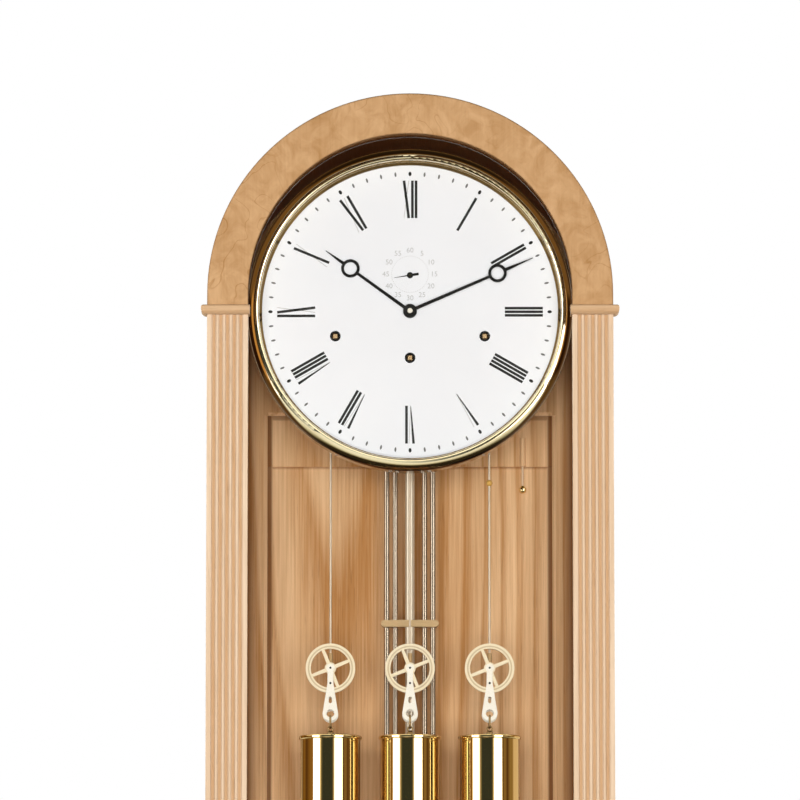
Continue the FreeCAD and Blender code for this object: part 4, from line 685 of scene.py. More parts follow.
def oak(name, follow, pale, deep, pith=(0.03, 0.16), ring=0.011, streak=0.5, fibre=0.9, tone=0.7,
        curl=0.0, flute_shade=0.0, frame_light=0.0, shade_mask=None, shade_colour=SHADE_BROWN, gloss=0.35):
    """Oak between two colours, with the strength of each part of its figure."""
    def varies(start):
        grain = follow(start)
        late = growth_rings(grain, pith, ring)
        fibres = streaks(grain, FIBRES, 3, 0.6)
        fine = streaks(grain, FINE, 2, 0.5)
        broad = streaks(grain, BROAD, 2)
        pores = spread(streaks(grain, PORES, 1), 0.62, 0.72)
        depth = late * 0.5 * streak + (fibres - 0.5) * fibre + (broad - 0.5) * tone + 0.32
        if curl:
            depth = depth + (streaks(grain, MOTTLE, 3, 0.6, 1.2) - 0.5) * curl
            depth = depth + curl_lines(grain) * 0.4
        # Painted shade in the flutes of the pilasters.
        if flute_shade:
            depth = depth + flute_wax(start) * flute_shade
        # Painted shade and highlight on the back frame and panel.
        if frame_light:
            depth = depth + frame_shade(start) * frame_light
        pored = pores * (0.25 + 0.75 * late) * (0.12 if curl else 0.3)
        colour = mixed(pored, mixed(spread(depth, 0.0, 1.0), pale, deep), PORE_BROWN)
        # Painted shade mixed in by a mask, towards a dark colour.
        if shade_mask:
            colour = mixed(shade_mask(start) * (1.15 - fibres * 0.3), colour, shade_colour)
        relief = fibres * 0.5 + fine * 0.3 - pores * 0.6
        return {"Base Color": colour, "Normal": bumped(relief, 0.0004, 0.3),
                "Roughness": spread(fine, 0.2, 0.8, 0.4, 0.55)}
    return finish(name, varies, Coat_Weight=gloss * 0.3, Coat_Roughness=0.3,
                  Specular_IOR_Level=gloss)


UPRIGHT = along_grain((0.0, 0.0, 0.0))
LEVEL = along_grain((0.0, math.pi / 2, 0.0))
DEEPWISE = along_grain((math.pi / 2, 0.0, 0.0))
CASE_TONES = (shade(222, 181, 134), shade(184, 137, 86))
# Painted shade goes into the flutes, the bead round the arch, the arch, the hood and the back; the
# back frame also gets a painted highlight.
OAK_PILASTER = oak("oak_pilaster", UPRIGHT, shade(242, 219, 191), shade(196, 158, 119), ring=0.006,
                   streak=0.3, fibre=0.6, tone=0.5, flute_shade=0.8)
OAK_CASE = oak("oak_case", UPRIGHT, *CASE_TONES, ring=0.009)
OAK_BEAD = oak("oak_bead", UPRIGHT, *CASE_TONES, shade_mask=bead_stain, shade_colour=shade(60, 32, 10),
               gloss=0.1)
OAK_LEVEL = oak("oak_level", LEVEL, shade(222, 188, 150), shade(186, 145, 102), ring=0.009)
OAK_ARCH = oak("oak_arch", UPRIGHT, shade(212, 171, 126), shade(168, 123, 74), pith=(0.02, 0.3),
               ring=0.03, streak=0.1, fibre=0.3, tone=0.6, curl=1.4, shade_mask=arch_stain,
               shade_colour=shade(92, 50, 18), gloss=0.0)
OAK_BACK = oak("oak_back", UPRIGHT, shade(250, 214, 168), shade(180, 129, 77), pith=(-0.04, 0.32),
               ring=0.016, streak=0.8, tone=1.3, frame_light=0.8, shade_mask=back_stain,
               shade_colour=shade(98, 49, 8), gloss=0.1)
OAK_HOOD = oak("oak_hood", DEEPWISE, shade(216, 178, 134), shade(186, 143, 97), streak=0.4,
               shade_mask=hood_stain, gloss=0.15)
print("oak for", [m.name for m in bpy.data.materials if m.name.startswith("oak")])

# %% [markdown]
# ## Brass and steel
# The weights and the movement are polished brass, with the faint smears and brushed lines of a
# cloth. The bezel's reflections are painted into its colour: a pale lip as a painted highlight,
# and an olive step inside it and a dark outer flank as painted darker reflections. The pulleys
# are a lacquered brass that looks almost cream, with painted shade in their groove, and their
# straps are painted whiter still, as their highlight. The pendulum's outer rods are bright steel
# and its middle one is pale. Polished metal shows little of its own, so most of its look comes
# from the studio.

# %% Finishes: metals
AXLE_X = 0.081
AXLE_Z = 1.384
PULLEY_GROOVE_R = 0.0222
WEIGHT_TOP_Z = 1.3153
BEZEL_Z = (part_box("bezel")[0].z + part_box("bezel")[1].z) / 2
BEZEL_STEP_R = 0.1532
BEZEL_FLANK_R = 0.1574
BEZEL_SOFT = (0.0003, 0.0014)
BEZEL_FOOT = (0.14, 0.05)
BEZEL_FOOT_SHIFT = 0.0052
GROOVE_HALF = (0.0003, 0.0011)
HOOK = (0.0002, 0.0006)
MIDDLE_ROD = (0.008, 0.0085)
FERRULE = (0.0045, 0.005)
STOP_BEAD_Z = (1.50, 1.51)
HAND_NUT_Z = (1.60, 1.61)


def polished(start):
    smear = streaks(on_object(start), (18, 18, 7), 4, 0.6)
    cloth = streaks(on_object(start), (260, 260, 30), 2)
    return {"Base Color": mixed(smear, shade(234, 206, 146), shade(245, 222, 170)),
            "Roughness": swing(smear * 0.6 + cloth * 0.4, 0.03, 0.07)}


def hooked(start):
    """Polished like the rest, with the hook above the cap left dull."""
    linked = polished(start)
    hook = spread(place_on(start).beside("Z"), WEIGHT_TOP_Z + HOOK[0], WEIGHT_TOP_Z + HOOK[1])
    return {"Base Color": mixed(hook, linked["Base Color"], shade(150, 124, 84)),
            "Roughness": linked["Roughness"] + hook * 0.3}


def bezel_tones(start):
    """Painted reflection: a pale lip, an olive step inside it and a dark flank, narrower at the
    foot.
    """
    out = from_axis(start, BEZEL_Z)
    smear = streaks(on_object(start), (18, 18, 18), 4, 0.6)
    step = fall(out, BEZEL_STEP_R - BEZEL_SOFT[0], BEZEL_STEP_R)
    foot = fall(place_on(start).beside("Z"), BEZEL_Z - BEZEL_FOOT[0], BEZEL_Z - BEZEL_FOOT[1])
    flank = spread(out - BEZEL_FLANK_R - foot * BEZEL_FOOT_SHIFT, 0.0, BEZEL_SOFT[1])
    lip = mixed(smear, shade(238, 224, 188), shade(246, 234, 204))
    inside = mixed(step, lip, shade(142, 115, 70))
    return {"Base Color": mixed(flank, inside, shade(88, 57, 20)),
            "Roughness": swing(smear, 0.08, 0.12)}


def from_axle(start):
    """Distance from the axle of the nearest pulley."""
    place = place_on(start)
    side = abs(place)
    nearest = start.sum("MINIMUM", side, abs(side - AXLE_X))
    return distance(nearest, place.beside("Z") - AXLE_Z)


def lacquered(start):
    cast = noise(on_object(start), 420, 3)
    tone = noise(on_object(start), 36, 2)
    pale = mixed(tone, shade(240, 224, 186), shade(249, 237, 206))
    # Painted shade: a darker ring in the pulley's groove.
    groove_shade = fall(abs(from_axle(start) - PULLEY_GROOVE_R), *GROOVE_HALF)
    return {"Base Color": mixed(groove_shade * 0.55, pale, shade(170, 140, 92)),
            "Roughness": swing(cast, 0.28, 0.42),
            "Normal": bumped(cast, 0.0002, 0.15)}


def bright_steel(start):
    place = on_object(start)
    drawn = streaks(place, (900, 900, 12), 2)
    middle = fall(abs(split(place)), *MIDDLE_ROD)
    steel = mixed(drawn, shade(140, 127, 112), shade(174, 160, 140))
    return {"Base Color": mixed(middle, steel, shade(214, 200, 176)),
            "Metallic": 0.8 - middle * 0.6,
            "Roughness": swing(drawn, 0.16, 0.26)}


def whitened(start):
    """White straps and hand nut as painted highlight, a tan ferrule and golden stop bead on the
    line above.
    """
    place = on_object(start)
    tone = noise(place, 60, 3)
    white = mixed(tone, shade(248, 243, 224), shade(252, 249, 236))
    high = split(place).beside("Z")
    above = spread(high, AXLE_Z + FERRULE[0], AXLE_Z + FERRULE[1]) * fall(high, *HAND_NUT_Z)
    brass = mixed(spread(high, *STOP_BEAD_Z), shade(176, 146, 100), shade(214, 168, 86))
    return {"Base Color": mixed(above, white, brass),
            "Roughness": swing(tone, 0.35, 0.45)}


POLISHED_BRASS = finish("polished_brass", polished, Metallic=1.0)
WEIGHT_BRASS = finish("weight_brass", hooked, Metallic=1.0)
BEZEL_BRASS = finish("bezel_brass", bezel_tones, Metallic=1.0)
SATIN_BRASS = worn("satin_brass", (60, 900, 900), 3, (182, 152, 110), (206, 178, 136),
                   rough=(0.42, 0.55), Metallic=0.55)
WHITE_METAL = finish("white_metal", whitened, Coat_Weight=0.1, Coat_Roughness=0.2)
PALE_BRASS = finish("pale_brass", lacquered, Metallic=0.1, Coat_Weight=0.1, Coat_Roughness=0.2)
BRIGHT_STEEL = finish("bright_steel", bright_steel)
print("weights", WEIGHT_BRASS.name, "bezel", BEZEL_BRASS.name, "pulleys", PALE_BRASS.name)

# %% [markdown]
# ## Paint, enamel, ink, glass and rubber
# The hands are blackened steel, the dial is fired white enamel with a very slight ripple, and the
# figures on it are black and grey ink. The pane is clear, with a breath of dust that only shows
# from the side. Even these plain finishes vary a little, because a surface with one value
# everywhere looks like plastic.

# %% Finishes: the rest
def enamelled(start):
    cloud = noise(on_object(start), 14, 3)
    ripple = noise(on_object(start), 90, 2)
    return {"Base Color": mixed(cloud, shade(248, 251, 254), shade(250, 252, 254)),
            "Roughness": swing(ripple, 0.16, 0.26),
            "Normal": bumped(ripple, 0.0001, 0.1)}


def printed(name, dark, pale):
    return worn(name, 2600, 2, dark, pale, rough=(0.45, 0.6))


def pane(start):
    dust = noise(on_object(start), 9, 4, 0.6)
    slant = start.add("ShaderNodeLayerWeight", {}, {"Blend": 0.5}, out="Facing")
    return {"Alpha": slant * slant * slant * 0.5 + spread(dust, 0.3, 0.8, 0.008, 0.02),
            "Roughness": spread(dust, 0.3, 0.8, 0.01, 0.05)}


BLACK_STEEL = worn("black_steel", 700, 3, (5, 5, 6), (14, 13, 13), rough=(0.3, 0.48),
                   Specular_IOR_Level=0.25)
ENAMEL = finish("white_enamel", enamelled, Coat_Weight=0.4, Coat_Roughness=0.08)
BLACK_INK = printed("black_ink", (8, 8, 8), (24, 24, 24))
GREY_INK = printed("grey_ink", (190, 190, 188), (206, 206, 204))
SECONDS_INK = printed("seconds_ink", (186, 187, 186), (202, 203, 202))
MARK_INK = printed("mark_ink", (92, 92, 92), (122, 122, 120))
GLASS = finish("clear_glass", pane, Base_Color=shade(70, 78, 74))
RUBBER = worn("foot_rubber", 900, 3, (24, 24, 24), (48, 47, 46), relief=(0.0003, 0.4),
              Roughness=0.8)
print(len(bpy.data.materials), "materials so far")

# %% [markdown]
# ## Dressing the solids
# Most of the solids have the right shape already, so they stay and only get their finish. The
# table below goes by what each one is made of. The pieces of the case that lie across, such as
# rails and boards, get the oak whose grain lies level.

# %% Give every solid its finish
DRESS = {
    OAK_PILASTER: ("door_left_stile", "door_right_stile", "pilaster_blocks"),
    OAK_CASE: ("left_side_panel", "right_side_panel", "base_panels"),
    OAK_BEAD: ("glazing_bead",),
    OAK_LEVEL: ("plinth_skirting", "base_top_board", "door_bottom_rail", "capitals"),
    OAK_ARCH: ("door_arch",),
    OAK_HOOD: ("arch_hood",),
    OAK_BACK: ("back_frame", "back_panel"),
    GLASS: ("door_glass",),
    POLISHED_BRASS: (
        "front_plate", "back_plate", "bells", "hour_wheel", "minute_wheel", "escape_wheel",
        "third_wheel", "centre_wheel", "great_wheel", "pendulum_bob", "rating_nut", "hammers",
        "turn_latch", "hinge_case_leaves", "hinge_door_leaves"),
    WEIGHT_BRASS: ("left_weight", "centre_weight", "right_weight"),
    BEZEL_BRASS: ("bezel",),
    SATIN_BRASS: ("pendulum_bridges", "left_barrel", "centre_barrel", "right_barrel"),
    PALE_BRASS: ("left_pulley", "centre_pulley", "right_pulley"),
    WHITE_METAL: ("left_hanger", "centre_hanger", "right_hanger", "cannon_pinion"),
    BRIGHT_STEEL: ("pendulum_rods", "anchor"),
    BLACK_STEEL: (
        "minute_hand", "hour_hand", "seconds_hand", "winding_grommets", "movement_bracket"),
    ENAMEL: ("dial",),
    RUBBER: ("levelling_feet",),
}
for material, names in DRESS.items():
    for name in names:
        data = nodes[name].data
        if not data.materials:
            data.materials.append(material)
        for index in range(len(data.materials)):
            nodes[name].material_slots[index].material = material
print("dressed", sum(len(names) for names in DRESS.values()), "solids")

# %% [markdown]
# ## Bead on the pull cord
# The bead hides the knot at the cord's end. It is turned brass with a small collar above, and the
# cord goes into it.

# %% The bead, and the body of the cord
BEAD_PROFILE = (
    (0.0, 1.0), (0.36, 0.96), (0.42, 1.12), (0.52, 1.06), (0.56, 0.82), (0.78, 0.62), (0.95, 0.3),
    (1.0, 0.0), (0.95, -0.31), (0.81, -0.59), (0.59, -0.81), (0.31, -0.95), (0.0, -1.0))
bead = turned("pull_cord_bead", [(BEAD_R * r, BEAD_R * h) for r, h in BEAD_PROFILE],
              (PULL_X, PULL_Y, BEAD_Z), POLISHED_BRASS)
for piece, slot in ((pull_cord, "cord"), (bead, "brass")):
    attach(piece, "pull")
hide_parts("pull_cord")

# %% [markdown]
# ## Hour figures
# The hours are tall Roman figures, feet towards the centre, with no serifs. Strokes are either
# bold or hairlines: an I is bold, an X has one bold stroke and one hairline, and a V has a bold
# arm that thins to its foot and a hairline arm. On an enamel dial they are printed, so each
# stroke is a flat bar that stands a hair's breadth proud of the white.

# %% Hour figures
DIAL_LOW, DIAL_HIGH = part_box("dial")
DIAL_Z = (DIAL_LOW.z + DIAL_HIGH.z) / 2
DIAL_Y = DIAL_LOW.y
FIGURE_TOP = 0.1352
FIGURE_FOOT = 0.0965
BOLD = 0.0027
THIN = 0.0007
STROKE_PITCH = 0.0037
ARM = 0.0049
INK_PROUD = 0.00012
INK_SUNK = 0.00004
V_FOOT, V_TOP, V_WIDTH = 0.62, 0.95, 0.72
FIGURES = ("XII", "I", "II", "III", "IIII", "V", "VI", "VII", "VIII", "IX", "X", "XI")


def stroke(shape, clock_angle, foot, top, widths, ink):
    """A bar on the dial from foot to top, each (across, out) in a figure at clock_angle."""
    turn = Matrix.Rotation(clock_angle, 3, "Y")
    run = Vector((top[0] - foot[0], 0, top[1] - foot[1])).normalized()
    side = Vector((run.z, 0, -run.x))
    corners = []
    for (across, out), width in ((foot, widths[0]), (top, widths[1])):
        middle = Vector((across, 0, out))
        corners.append((middle - side * width / 2, middle + side * width / 2))
    ring = (corners[0][0], corners[0][1], corners[1][1], corners[1][0])
    layers = []
    for y in (DIAL_Y + INK_SUNK, DIAL_Y - INK_PROUD):
        layers.append([shape.verts.new(turn @ p + Vector((0, y, DIAL_Z))) for p in ring])
    faces = [layers[1], layers[0][::-1]]
    for i in range(4):
        after = (i + 1) % 4
        faces.append((layers[0][i], layers[0][after], layers[1][after], layers[1][i]))
    for face in faces:
        shape.faces.new(face).material_index = ink


def figure_strokes(figure):
    """Strokes as (foot across, top across, foot width, top width, ink), and the whole width."""
    strokes = []
    x = 0.0
    for index, letter in enumerate(figure):
        x += STROKE_PITCH if index else 0.0
        if letter == "I":
            strokes.append((x, x, BOLD, BOLD, 0))
        elif letter == "X":
            strokes.append((x + ARM, x, BOLD, BOLD, 0))
            strokes.append((x, x + ARM, THIN, THIN, 1))
            x += ARM
        else:
            strokes.append((x + ARM * V_FOOT, x, THIN, BOLD, 0))
            strokes.append((x + ARM * V_FOOT, x + ARM * V_TOP, THIN, THIN, 1))
            x += ARM * V_WIDTH
    return strokes, x


figures = bmesh.new()
for hour, figure in enumerate(FIGURES):
    strokes, width = figure_strokes(figure)
    for foot_x, top_x, foot_width, top_width, ink in strokes:
        stroke(figures, hour * math.pi / 6, (foot_x - width / 2, FIGURE_FOOT),
               (top_x - width / 2, FIGURE_TOP), (foot_width, top_width), ink)
bmesh.ops.recalc_face_normals(figures, faces=figures.faces)
figure_mesh = settled(figures, "hour_figures")
hour_figures = add_piece("hour_figures", figure_mesh, BLACK_INK, GREY_INK)
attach(hour_figures, "case")
print("hour figures", len(figure_mesh.polygons), "faces")

# %% [markdown]
# ## Minute marks
# Sixty marks stand round the figures: a black dot at each hour and a small grey dash at each
# minute between. One tree makes both, because they differ only in which marks it keeps, in their
# size and in their ink.

# %% Tree: ring of marks
def ring_tree():
    tree, given = open_tree(
        "ring_of_marks", Count="Int", Radius="Float", Every="Float", Hours="Float", Length="Float",
        Width="Float", Thickness="Float", Corners="Int", Centre="Vector", Material="Material")
    start = Wire(tree)
    ring = start.add("GeometryNodeMeshCircle", {}, {
        "Vertices": given["Count"], "Radius": given["Radius"]})
    index = start.add("GeometryNodeInputIndex")
    between = start.sum("MINIMUM", start.sum("MODULO", index, given["Every"]), 1.0)
    kept = abs(given["Hours"] - between)
    turn = start.add("ShaderNodeCombineXYZ", {}, {2: index * (2 * math.pi) / given["Count"]})
    disc = start.add("GeometryNodeMeshCylinder", {}, {
        "Vertices": given["Corners"], "Radius": 0.5, "Depth": 1.0})
    size = start.add("ShaderNodeCombineXYZ", {}, {
        0: given["Length"], 1: given["Width"], 2: given["Thickness"]})
    placed = start.add("GeometryNodeInstanceOnPoints", {}, {
        "Points": ring, "Selection": kept, "Instance": disc, "Rotation": turn, "Scale": size})
    upright = start.add("GeometryNodeTransform", {}, {
        "Geometry": placed, "Translation": given["Centre"], "Rotation": (math.pi / 2, 0, 0)})
    return close_tree(tree, upright, given["Material"])


RING_OF_MARKS = ring_tree()
MARK_R = 0.1421
HOUR_DOT = (0.0046, 0.0031)
MINUTE_DASH = (0.0050, 0.0021)


def marks(name, radius, height, every, hours, size, corners, material):
    """Sixty places round a height on the dial: hours 1 marks every n-th of them, 0 the rest."""
    return grow(
        name, points_mesh("ring", []), RING_OF_MARKS, Count=60, Radius=radius, Every=every,
        Hours=hours, Length=size[0], Width=size[1], Thickness=2 * INK_PROUD, Corners=corners,
        Centre=(0.0, DIAL_Y - INK_PROUD / 2, height), Material=material)


hour_dots = marks("hour_dots", MARK_R, DIAL_Z, 5.0, 1.0, HOUR_DOT, 16, BLACK_INK)
minute_dashes = marks("minute_dashes", MARK_R, DIAL_Z, 5.0, 0.0, MINUTE_DASH, 8, MARK_INK)
for piece in (hour_dots, minute_dashes):
    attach(piece, "case")

# %% [markdown]
# ## Seconds ring
# Above the centre a small ring counts the seconds in pale grey: a dot for each second and a
# number for every five. The numbers are text, turned into a mesh and laid on the dial, because an
# outline drawn by hand would not be as even.

# %% Seconds ring
SECONDS_Z = DIAL_Z + 0.0386
SECONDS_NUMBER_R = 0.0246
SECONDS_DOT_R = 0.0187
SECONDS_TEXT = 0.0074
SECONDS_DOT = (0.0008, 0.0008)


def number_mesh(text, size):
    data = bpy.data.curves.new("number", "FONT")
    data.body = text
    data.size = size
    data.align_x = "CENTER"
    data.align_y = "CENTER"
    data.extrude = INK_PROUD / 2
    data.resolution_u = 3
    return mesh_of(data)


numbers = bmesh.new()
for second in range(5, 65, 5):
    angle = math.radians(6 * second)
    place = Matrix.Translation((
        SECONDS_NUMBER_R * math.sin(angle), DIAL_Y - INK_PROUD / 2,
        SECONDS_Z + SECONDS_NUMBER_R * math.cos(angle)))
    mesh = number_mesh(str(second), SECONDS_TEXT)
    mesh.transform(place @ Matrix.Rotation(math.pi / 2, 4, "X"))
    mesh.materials.clear()
    numbers.from_mesh(mesh)
number_data = settled(numbers, "seconds_numbers")
seconds_numbers = add_piece("seconds_numbers", number_data, SECONDS_INK)
seconds_dots = marks("seconds_dots", SECONDS_DOT_R, SECONDS_Z, 1.0, 1.0, SECONDS_DOT, 6,
                     SECONDS_INK)
for piece in (seconds_numbers, seconds_dots):
    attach(piece, "case")
print("seconds numbers", len(number_data.polygons), "faces")

# %% [markdown]
# ## Screws
# Slotted brass screws hold the hinge leaves, the glazing bead and the back panel. One tree cuts
# the slot once and sets the head on each point, turned by a fixed random angle, since no joiner
# leaves every slot upright.

# %% Tree: screw heads
def screw_tree():
    tree, given = open_tree("screw_heads", Radius="Float", Proud="Float", Axis="Vector", Seed="Int",
                            Material="Material")
    start = Wire(tree)
    head = start.add("GeometryNodeMeshCylinder", {}, {
        "Vertices": 20, "Radius": given["Radius"], "Depth": given["Proud"] * 2})
    slot_size = start.add("ShaderNodeCombineXYZ", {}, {
        0: given["Radius"] * 3, 1: given["Radius"] * 0.3, 2: given["Proud"]})
    slot_box = start.add("GeometryNodeMeshCube", {}, {"Size": slot_size})
    lift = start.add("ShaderNodeCombineXYZ", {}, {2: given["Proud"]})
    slot_high = start.add("GeometryNodeTransform", {}, {"Geometry": slot_box, "Translation": lift})
    slotted = start.add("GeometryNodeMeshBoolean", {"operation": "DIFFERENCE"}, {
        "Mesh 1": head, "Mesh 2": slot_high})
    aim = start.add("FunctionNodeAlignRotationToVector", {"axis": "Z"}, {"Vector": given["Axis"]})
    angle = start.add("FunctionNodeRandomValue", {"data_type": "FLOAT"}, {
        "Min": 0.0, "Max": math.pi, "Seed": given["Seed"]}, out=1)
    spin = start.add("FunctionNodeAxisAngleToRotation", {}, {"Axis": (0, 0, 1), "Angle": angle})
    set_at = start.add("FunctionNodeRotateRotation", {"rotation_space": "LOCAL"}, {
        "Rotation": aim, "Rotate By": spin})
    points = start.add("GeometryNodeMeshToPoints", {}, {"Mesh": given["Geometry"]})
    heads = start.add("GeometryNodeInstanceOnPoints", {}, {
        "Points": points, "Instance": slotted, "Rotation": set_at})
    return close_tree(tree, heads, given["Material"])


SCREW_HEADS = screw_tree()
HINGE_Z = (0.514, 1.04925, 1.6445)
LEAF_X = 0.1915
CASE_LEAF_Y = -0.1114
DOOR_BACK_Y = -0.112
BEAD_X = 0.1665
PANEL_BACK_Y = 0.156
PANEL_X = 0.153
LEAF_STEPS = (-0.024, 0.0, 0.024)
BEAD_HEIGHTS = [0.47 + 0.155 * step for step in range(9)]
BEAD_ANGLES = [math.pi * step / 8 for step in range(1, 8)]
PANEL_HEIGHTS = [0.48 + 0.19 * step for step in range(7)]
PANEL_ENDS = (0.437, 1.6637)
leaf_places = [(LEAF_X, z + dz) for z in HINGE_Z for dz in LEAF_STEPS]
bead_places = [(side * BEAD_X, z) for side in (-1, 1) for z in BEAD_HEIGHTS]
bead_places += [(BEAD_X * math.cos(a), ARCH_Z + BEAD_X * math.sin(a)) for a in BEAD_ANGLES]
panel_places = [(side * PANEL_X, z) for side in (-1, 1) for z in PANEL_HEIGHTS]
panel_places += [(x, z) for x in (-0.1, 0.0, 0.1) for z in PANEL_ENDS]
SCREWS = (  # name, body, places, y, axis, radius, proud
    ("case_leaf_screws", "case", leaf_places, CASE_LEAF_Y, (0, -1, 0), 0.0026, 0.0002),
    ("door_leaf_screws", "door", leaf_places, DOOR_BACK_Y, (0, 1, 0), 0.0026, 0.0002),
    ("bead_screws", "door", bead_places, DOOR_BACK_Y, (0, 1, 0), 0.0019, 0.0004),
    ("panel_screws", "case", panel_places, PANEL_BACK_Y, (0, 1, 0), 0.0034, 0.0014),
)
for seed, (name, body, places, y, axis, radius, proud) in enumerate(SCREWS):
    screws = grow(name, points_mesh(name, [(x, y, z) for x, z in places]), SCREW_HEADS,
                  Radius=radius, Proud=proud, Axis=axis, Seed=seed, Material=POLISHED_BRASS)
    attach(screws, body)

# %% [markdown]
# ## Rivets
# Each strap is a pair of plates, closed by a rivet below the pulley and by the head of the axle.
# Both are blued, so they show as small dark dots on the pale metal. The screw tree makes them as
# well, with a head that hardly stands out.

# %% Rivets on the straps
STRAP_FRONT_Y = 0.0143
AXLE_FRONT_Y = 0.0127
RIVET_Z = 1.3685
RIVET_R = 0.0011
RIVET_PROUD = 0.0002
for seed, (side_name, _, _, line_x, _) in enumerate(TRAINS):
    rivet_places = [(line_x, STRAP_FRONT_Y, RIVET_Z), (line_x, AXLE_FRONT_Y, AXLE_Z)]
    rivets = grow(
        side_name + "_strap_rivets", points_mesh("rivets", rivet_places), SCREW_HEADS,
        Radius=RIVET_R, Proud=RIVET_PROUD, Axis=(0, -1, 0), Seed=seed, Material=BLACK_STEEL)
    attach(rivets, side_name + "_drive")

# %% [markdown]
# ## Studio
# Polished brass is a mirror, and what it mirrors makes it look like brass: in a studio that is a
# pair of tall white softboxes, the dark room between them and the warm wood round it. Cards and
# lamps in the scene would get in the way of the other views, so the world holds this picture by
# direction, for reflections alone. An upright cylinder sees no more than a low belt round the
# horizon, so the cards stand in that belt, and the round bezel also sees the glow above it. What
# has been mirrored twice is dimmed. For the camera the world is plain white, and everything else
# gets a dim warm light. The pieces of the case that stand nearest to the weights are left out of
# reflections, since the belt has them.

# %% World
CARD = (5.5, 5.5, 5.5)
ROOM = (0.04, 0.045, 0.033)
WOOD = (0.27, 0.135, 0.025)
DEEP_WOOD = (0.09, 0.035, 0.004)
TAN = (0.30, 0.19, 0.06)
EDGE = (0.5, 0.4, 0.22)
CREAM = (0.75, 0.58, 0.38)
GLOW = (1.5, 1.45, 1.25)
PALE = (1.0, 1.0, 0.9)
LEFT = (
    (-180, CREAM), (-142, CREAM), (-136, DEEP_WOOD), (-120, WOOD), (-104, DEEP_WOOD), (-82, WOOD),
    (-70, WOOD), (-66, CARD), (-45, CARD), (-38, EDGE))
RIGHT = (
    (14, EDGE), (20, CARD), (45, CARD), (49, DEEP_WOOD), (60, TAN), (72, DEEP_WOOD), (84, TAN),
    (98, TAN), (106, CREAM), (180, CREAM))
PALE_FRONT = ((-32, ROOM), (-26, ROOM), (-18, PALE), (-2, PALE), (5, ROOM), (9, ROOM))
AROUND = LEFT + ((-30, ROOM), (8, ROOM)) + RIGHT
ON_FLOOR = LEFT + PALE_FRONT + RIGHT
ABOVE = ((-180, WOOD), (-112, WOOD), (-96, GLOW), (96, GLOW), (112, WOOD), (180, WOOD))
BELT_TOP = (0.20, 0.24)
OVERHEAD = (0.14, 0.11, 0.04, 1.0)
OVERHEAD_FROM = (0.75, 0.86)
AGAIN = 0.42
AMBIENT = (0.058, 0.044, 0.028, 1.0)


def compass(toward):
    """The angle round the horizon from 0 to 1, with the front at a half."""
    return toward.sum("ARCTAN2", toward, toward.beside("Y") * -1) / (2 * math.pi) + 0.5


def round_the_horizon(around, stops):
    """Colours by the angle round the horizon, in degrees, brighter than 1 where a stop is."""
    brightest = max(max(colour) for angle, colour in stops)
    dimmed = []
    for angle, colour in stops:
        dimmed.append((angle / 360 + 0.5, tuple(level / brightest for level in colour) + (1.0,)))
    return times(ramp(around, *dimmed), brightest)


def studio_world():
    world = bpy.data.worlds.new("studio")
    world.use_nodes = True
    tree = world.node_tree
    start = Wire(tree)
    ground = next(node for node in tree.nodes if node.type == "BACKGROUND")
    toward = split(start.add("ShaderNodeTexCoord", out="Generated"))
    height = toward.beside("Z")
    around = compass(toward)
    belt = round_the_horizon(around, AROUND)
    walls = mixed(fall(height, *BELT_TOP), round_the_horizon(around, ABOVE), belt)
    room = mixed(spread(height, *OVERHEAD_FROM), walls, OVERHEAD)
    path = start.add("ShaderNodeLightPath", out="Is Camera Ray")
    again = spread(path.beside("Glossy Depth"), 1.0, 2.0, 1.0, AGAIN)
    straight = 1 - start.sum("MINIMUM", path.beside("Diffuse Depth"), 1.0)
    even = mixed(path.beside("Is Glossy Ray") * straight, AMBIENT, times(room, again))
    seen = larger(path, path.beside("Is Transmission Ray"))
    tree.links.new(mixed(seen, even, (1.0, 1.0, 1.0, 1.0)).socket, ground.inputs["Color"])
    ground.inputs["Strength"].default_value = 1.0
    return world


scene.world = studio_world()
CLEAR_OF_MIRRORS = ("door_left_stile", "door_right_stile", "left_side_panel", "right_side_panel",
                    "capitals", "glazing_bead", "arch_hood")
for name in CLEAR_OF_MIRRORS:
    nodes[name].visible_glossy = False
print("studio world with", len(AROUND), "stops round the horizon")

# %% [markdown]
# ## Floor
# A pale floor carries the clock and its shadow. Away from the clock it fades to the white of the
# background for the camera alone, so no edge of the floor shows, while the shadow at the foot
# stays. In reflections the floor is dark near the clock, and farther out it goes on with the
# bands of the studio, so that a weight seen from above looks round too. The light that it throws
# up is brown, as from a wooden floor.

# %% Floor
FLOOR_R = 60.0
FLOOR_GLOW = (
    (0.0, (0.02, 0.012, 0.004, 1)), (1.4, (0.03, 0.02, 0.006, 1)), (1.9, (0.45, 0.4, 0.27, 1)),
    (2.6, (0.9, 0.85, 0.68, 1)), (5.0, (1.0, 1.0, 0.9, 1)))
GLOW_REACH = 8.0
FLOOR_BANDS = (5.4, 6.4)
FLOOR_FADE = (0.5, 2.2)
FLOOR_BROWN = shade(110, 84, 58)


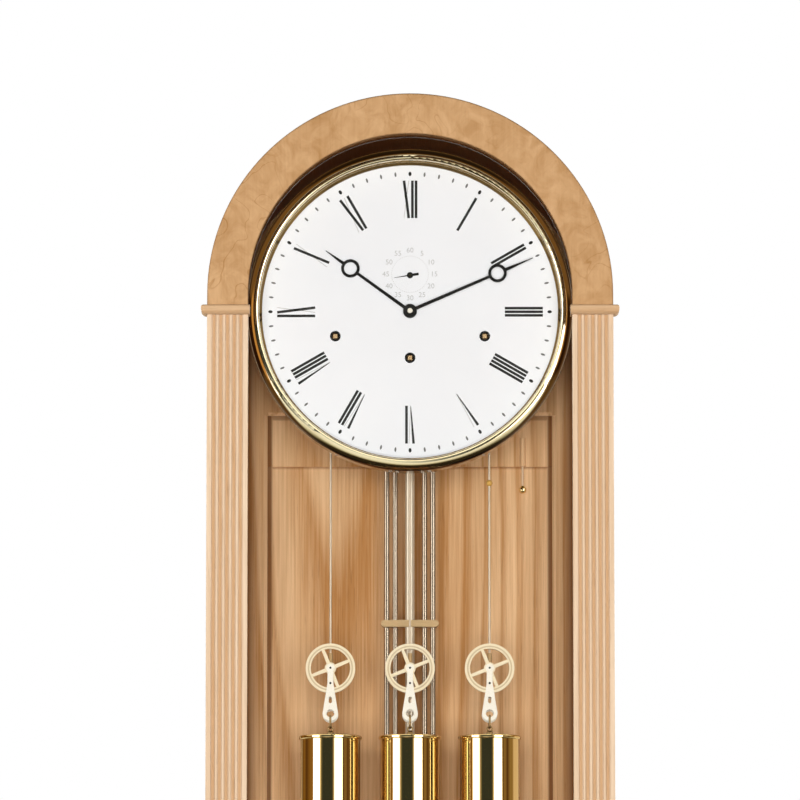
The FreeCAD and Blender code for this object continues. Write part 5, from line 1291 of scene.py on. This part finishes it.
def floor_material():
    material = bpy.data.materials.new("studio_floor")
    material.use_nodes = True
    tree = material.node_tree
    start = Wire(tree)
    shader = principled(tree)
    leave = next(node for node in tree.nodes if node.type == "OUTPUT_MATERIAL")
    place = on_object(start)
    across = split(place)
    path = start.add("ShaderNodeLightPath", out="Is Camera Ray")
    mirrored = path.beside("Is Glossy Ray")
    pale = mixed(noise(place, 300, 2), shade(236, 236, 234), shade(242, 242, 240))
    tree.links.new(mixed(path, FLOOR_BROWN, pale).socket, shader.inputs["Base Color"])
    shader.inputs["Roughness"].default_value = 0.9
    away = distance(across, across.beside("Y"))
    stops = [(reach / GLOW_REACH, colour) for reach, colour in FLOOR_GLOW]
    near = ramp(spread(away, 0.0, GLOW_REACH), *stops)
    bands = round_the_horizon(compass(across), ON_FLOOR)
    glow = mixed(spread(away, *FLOOR_BANDS), near, bands)
    white = start.add("ShaderNodeEmission", {}, {
        "Color": mixed(mirrored, (1, 1, 1, 1), glow), "Strength": 1.0})
    shown = larger(spread(away, *FLOOR_FADE) * path, mirrored)
    paper = Wire(tree, shader.outputs[0])
    faded = start.add("ShaderNodeMixShader", {}, {0: shown, 1: paper, 2: white})
    tree.links.new(faded.socket, leave.inputs["Surface"])
    return material


floor_shape = bmesh.new()
bmesh.ops.create_circle(floor_shape, cap_ends=True, radius=FLOOR_R, segments=96)
floor = add_piece("floor", settled(floor_shape, "floor"), floor_material())
print("floor", 2 * FLOOR_R, "m across")

# %% [markdown]
# ## Lamps
# A broad soft lamp low in front of the clock reaches into the case and lights the back board, as
# most of the light in the photograph does. Two weak ones left and right in front lift the edges.
# Two at the sides and one behind don't reach the front at all: they light the case for other
# views. All six are hidden from the camera and from reflections, which the world already holds.

# %% Lamps
LAMP_AIM = Vector((0, 0, 1.45))
TALL = (0.8, 2.6)
LAMPS = (  # name, degrees from the front to the right, height, distance, size, power
    ("left_softbox", -70, 1.9, 3.0, TALL, 11),
    ("right_softbox", 66, 1.9, 3.0, TALL, 6),
    ("front_softbox", 0, 0.95, 5.5, (2.3, 1.8), 300),
    ("left_side_softbox", -105, 1.9, 3.0, TALL, 50),
    ("right_side_softbox", 105, 1.9, 3.0, TALL, 50),
    ("back_softbox", 180, 1.6, 5.5, (3.4, 1.8), 210),
)
for name, degrees, height, reach, size, power in LAMPS:
    data = bpy.data.lights.new(name, "AREA")
    data.shape = "RECTANGLE"
    data.size, data.size_y = size
    data.energy = power
    lamp = put(name, data)
    angle = math.radians(degrees)
    lamp.location = (reach * math.sin(angle), -reach * math.cos(angle), height)
    lamp.rotation_euler = (LAMP_AIM - lamp.location).to_track_quat("-Z", "Y").to_euler()
    lamp.visible_camera = False
    lamp.visible_glossy = False
    lamp.visible_transmission = False
print([light.name for light in bpy.data.lights])

# %% [markdown]
# ## View and finish
# The picture is shown with the Standard view, so a colour appears as it is written.

# %% Finish
scene.view_settings.view_transform = "Standard"
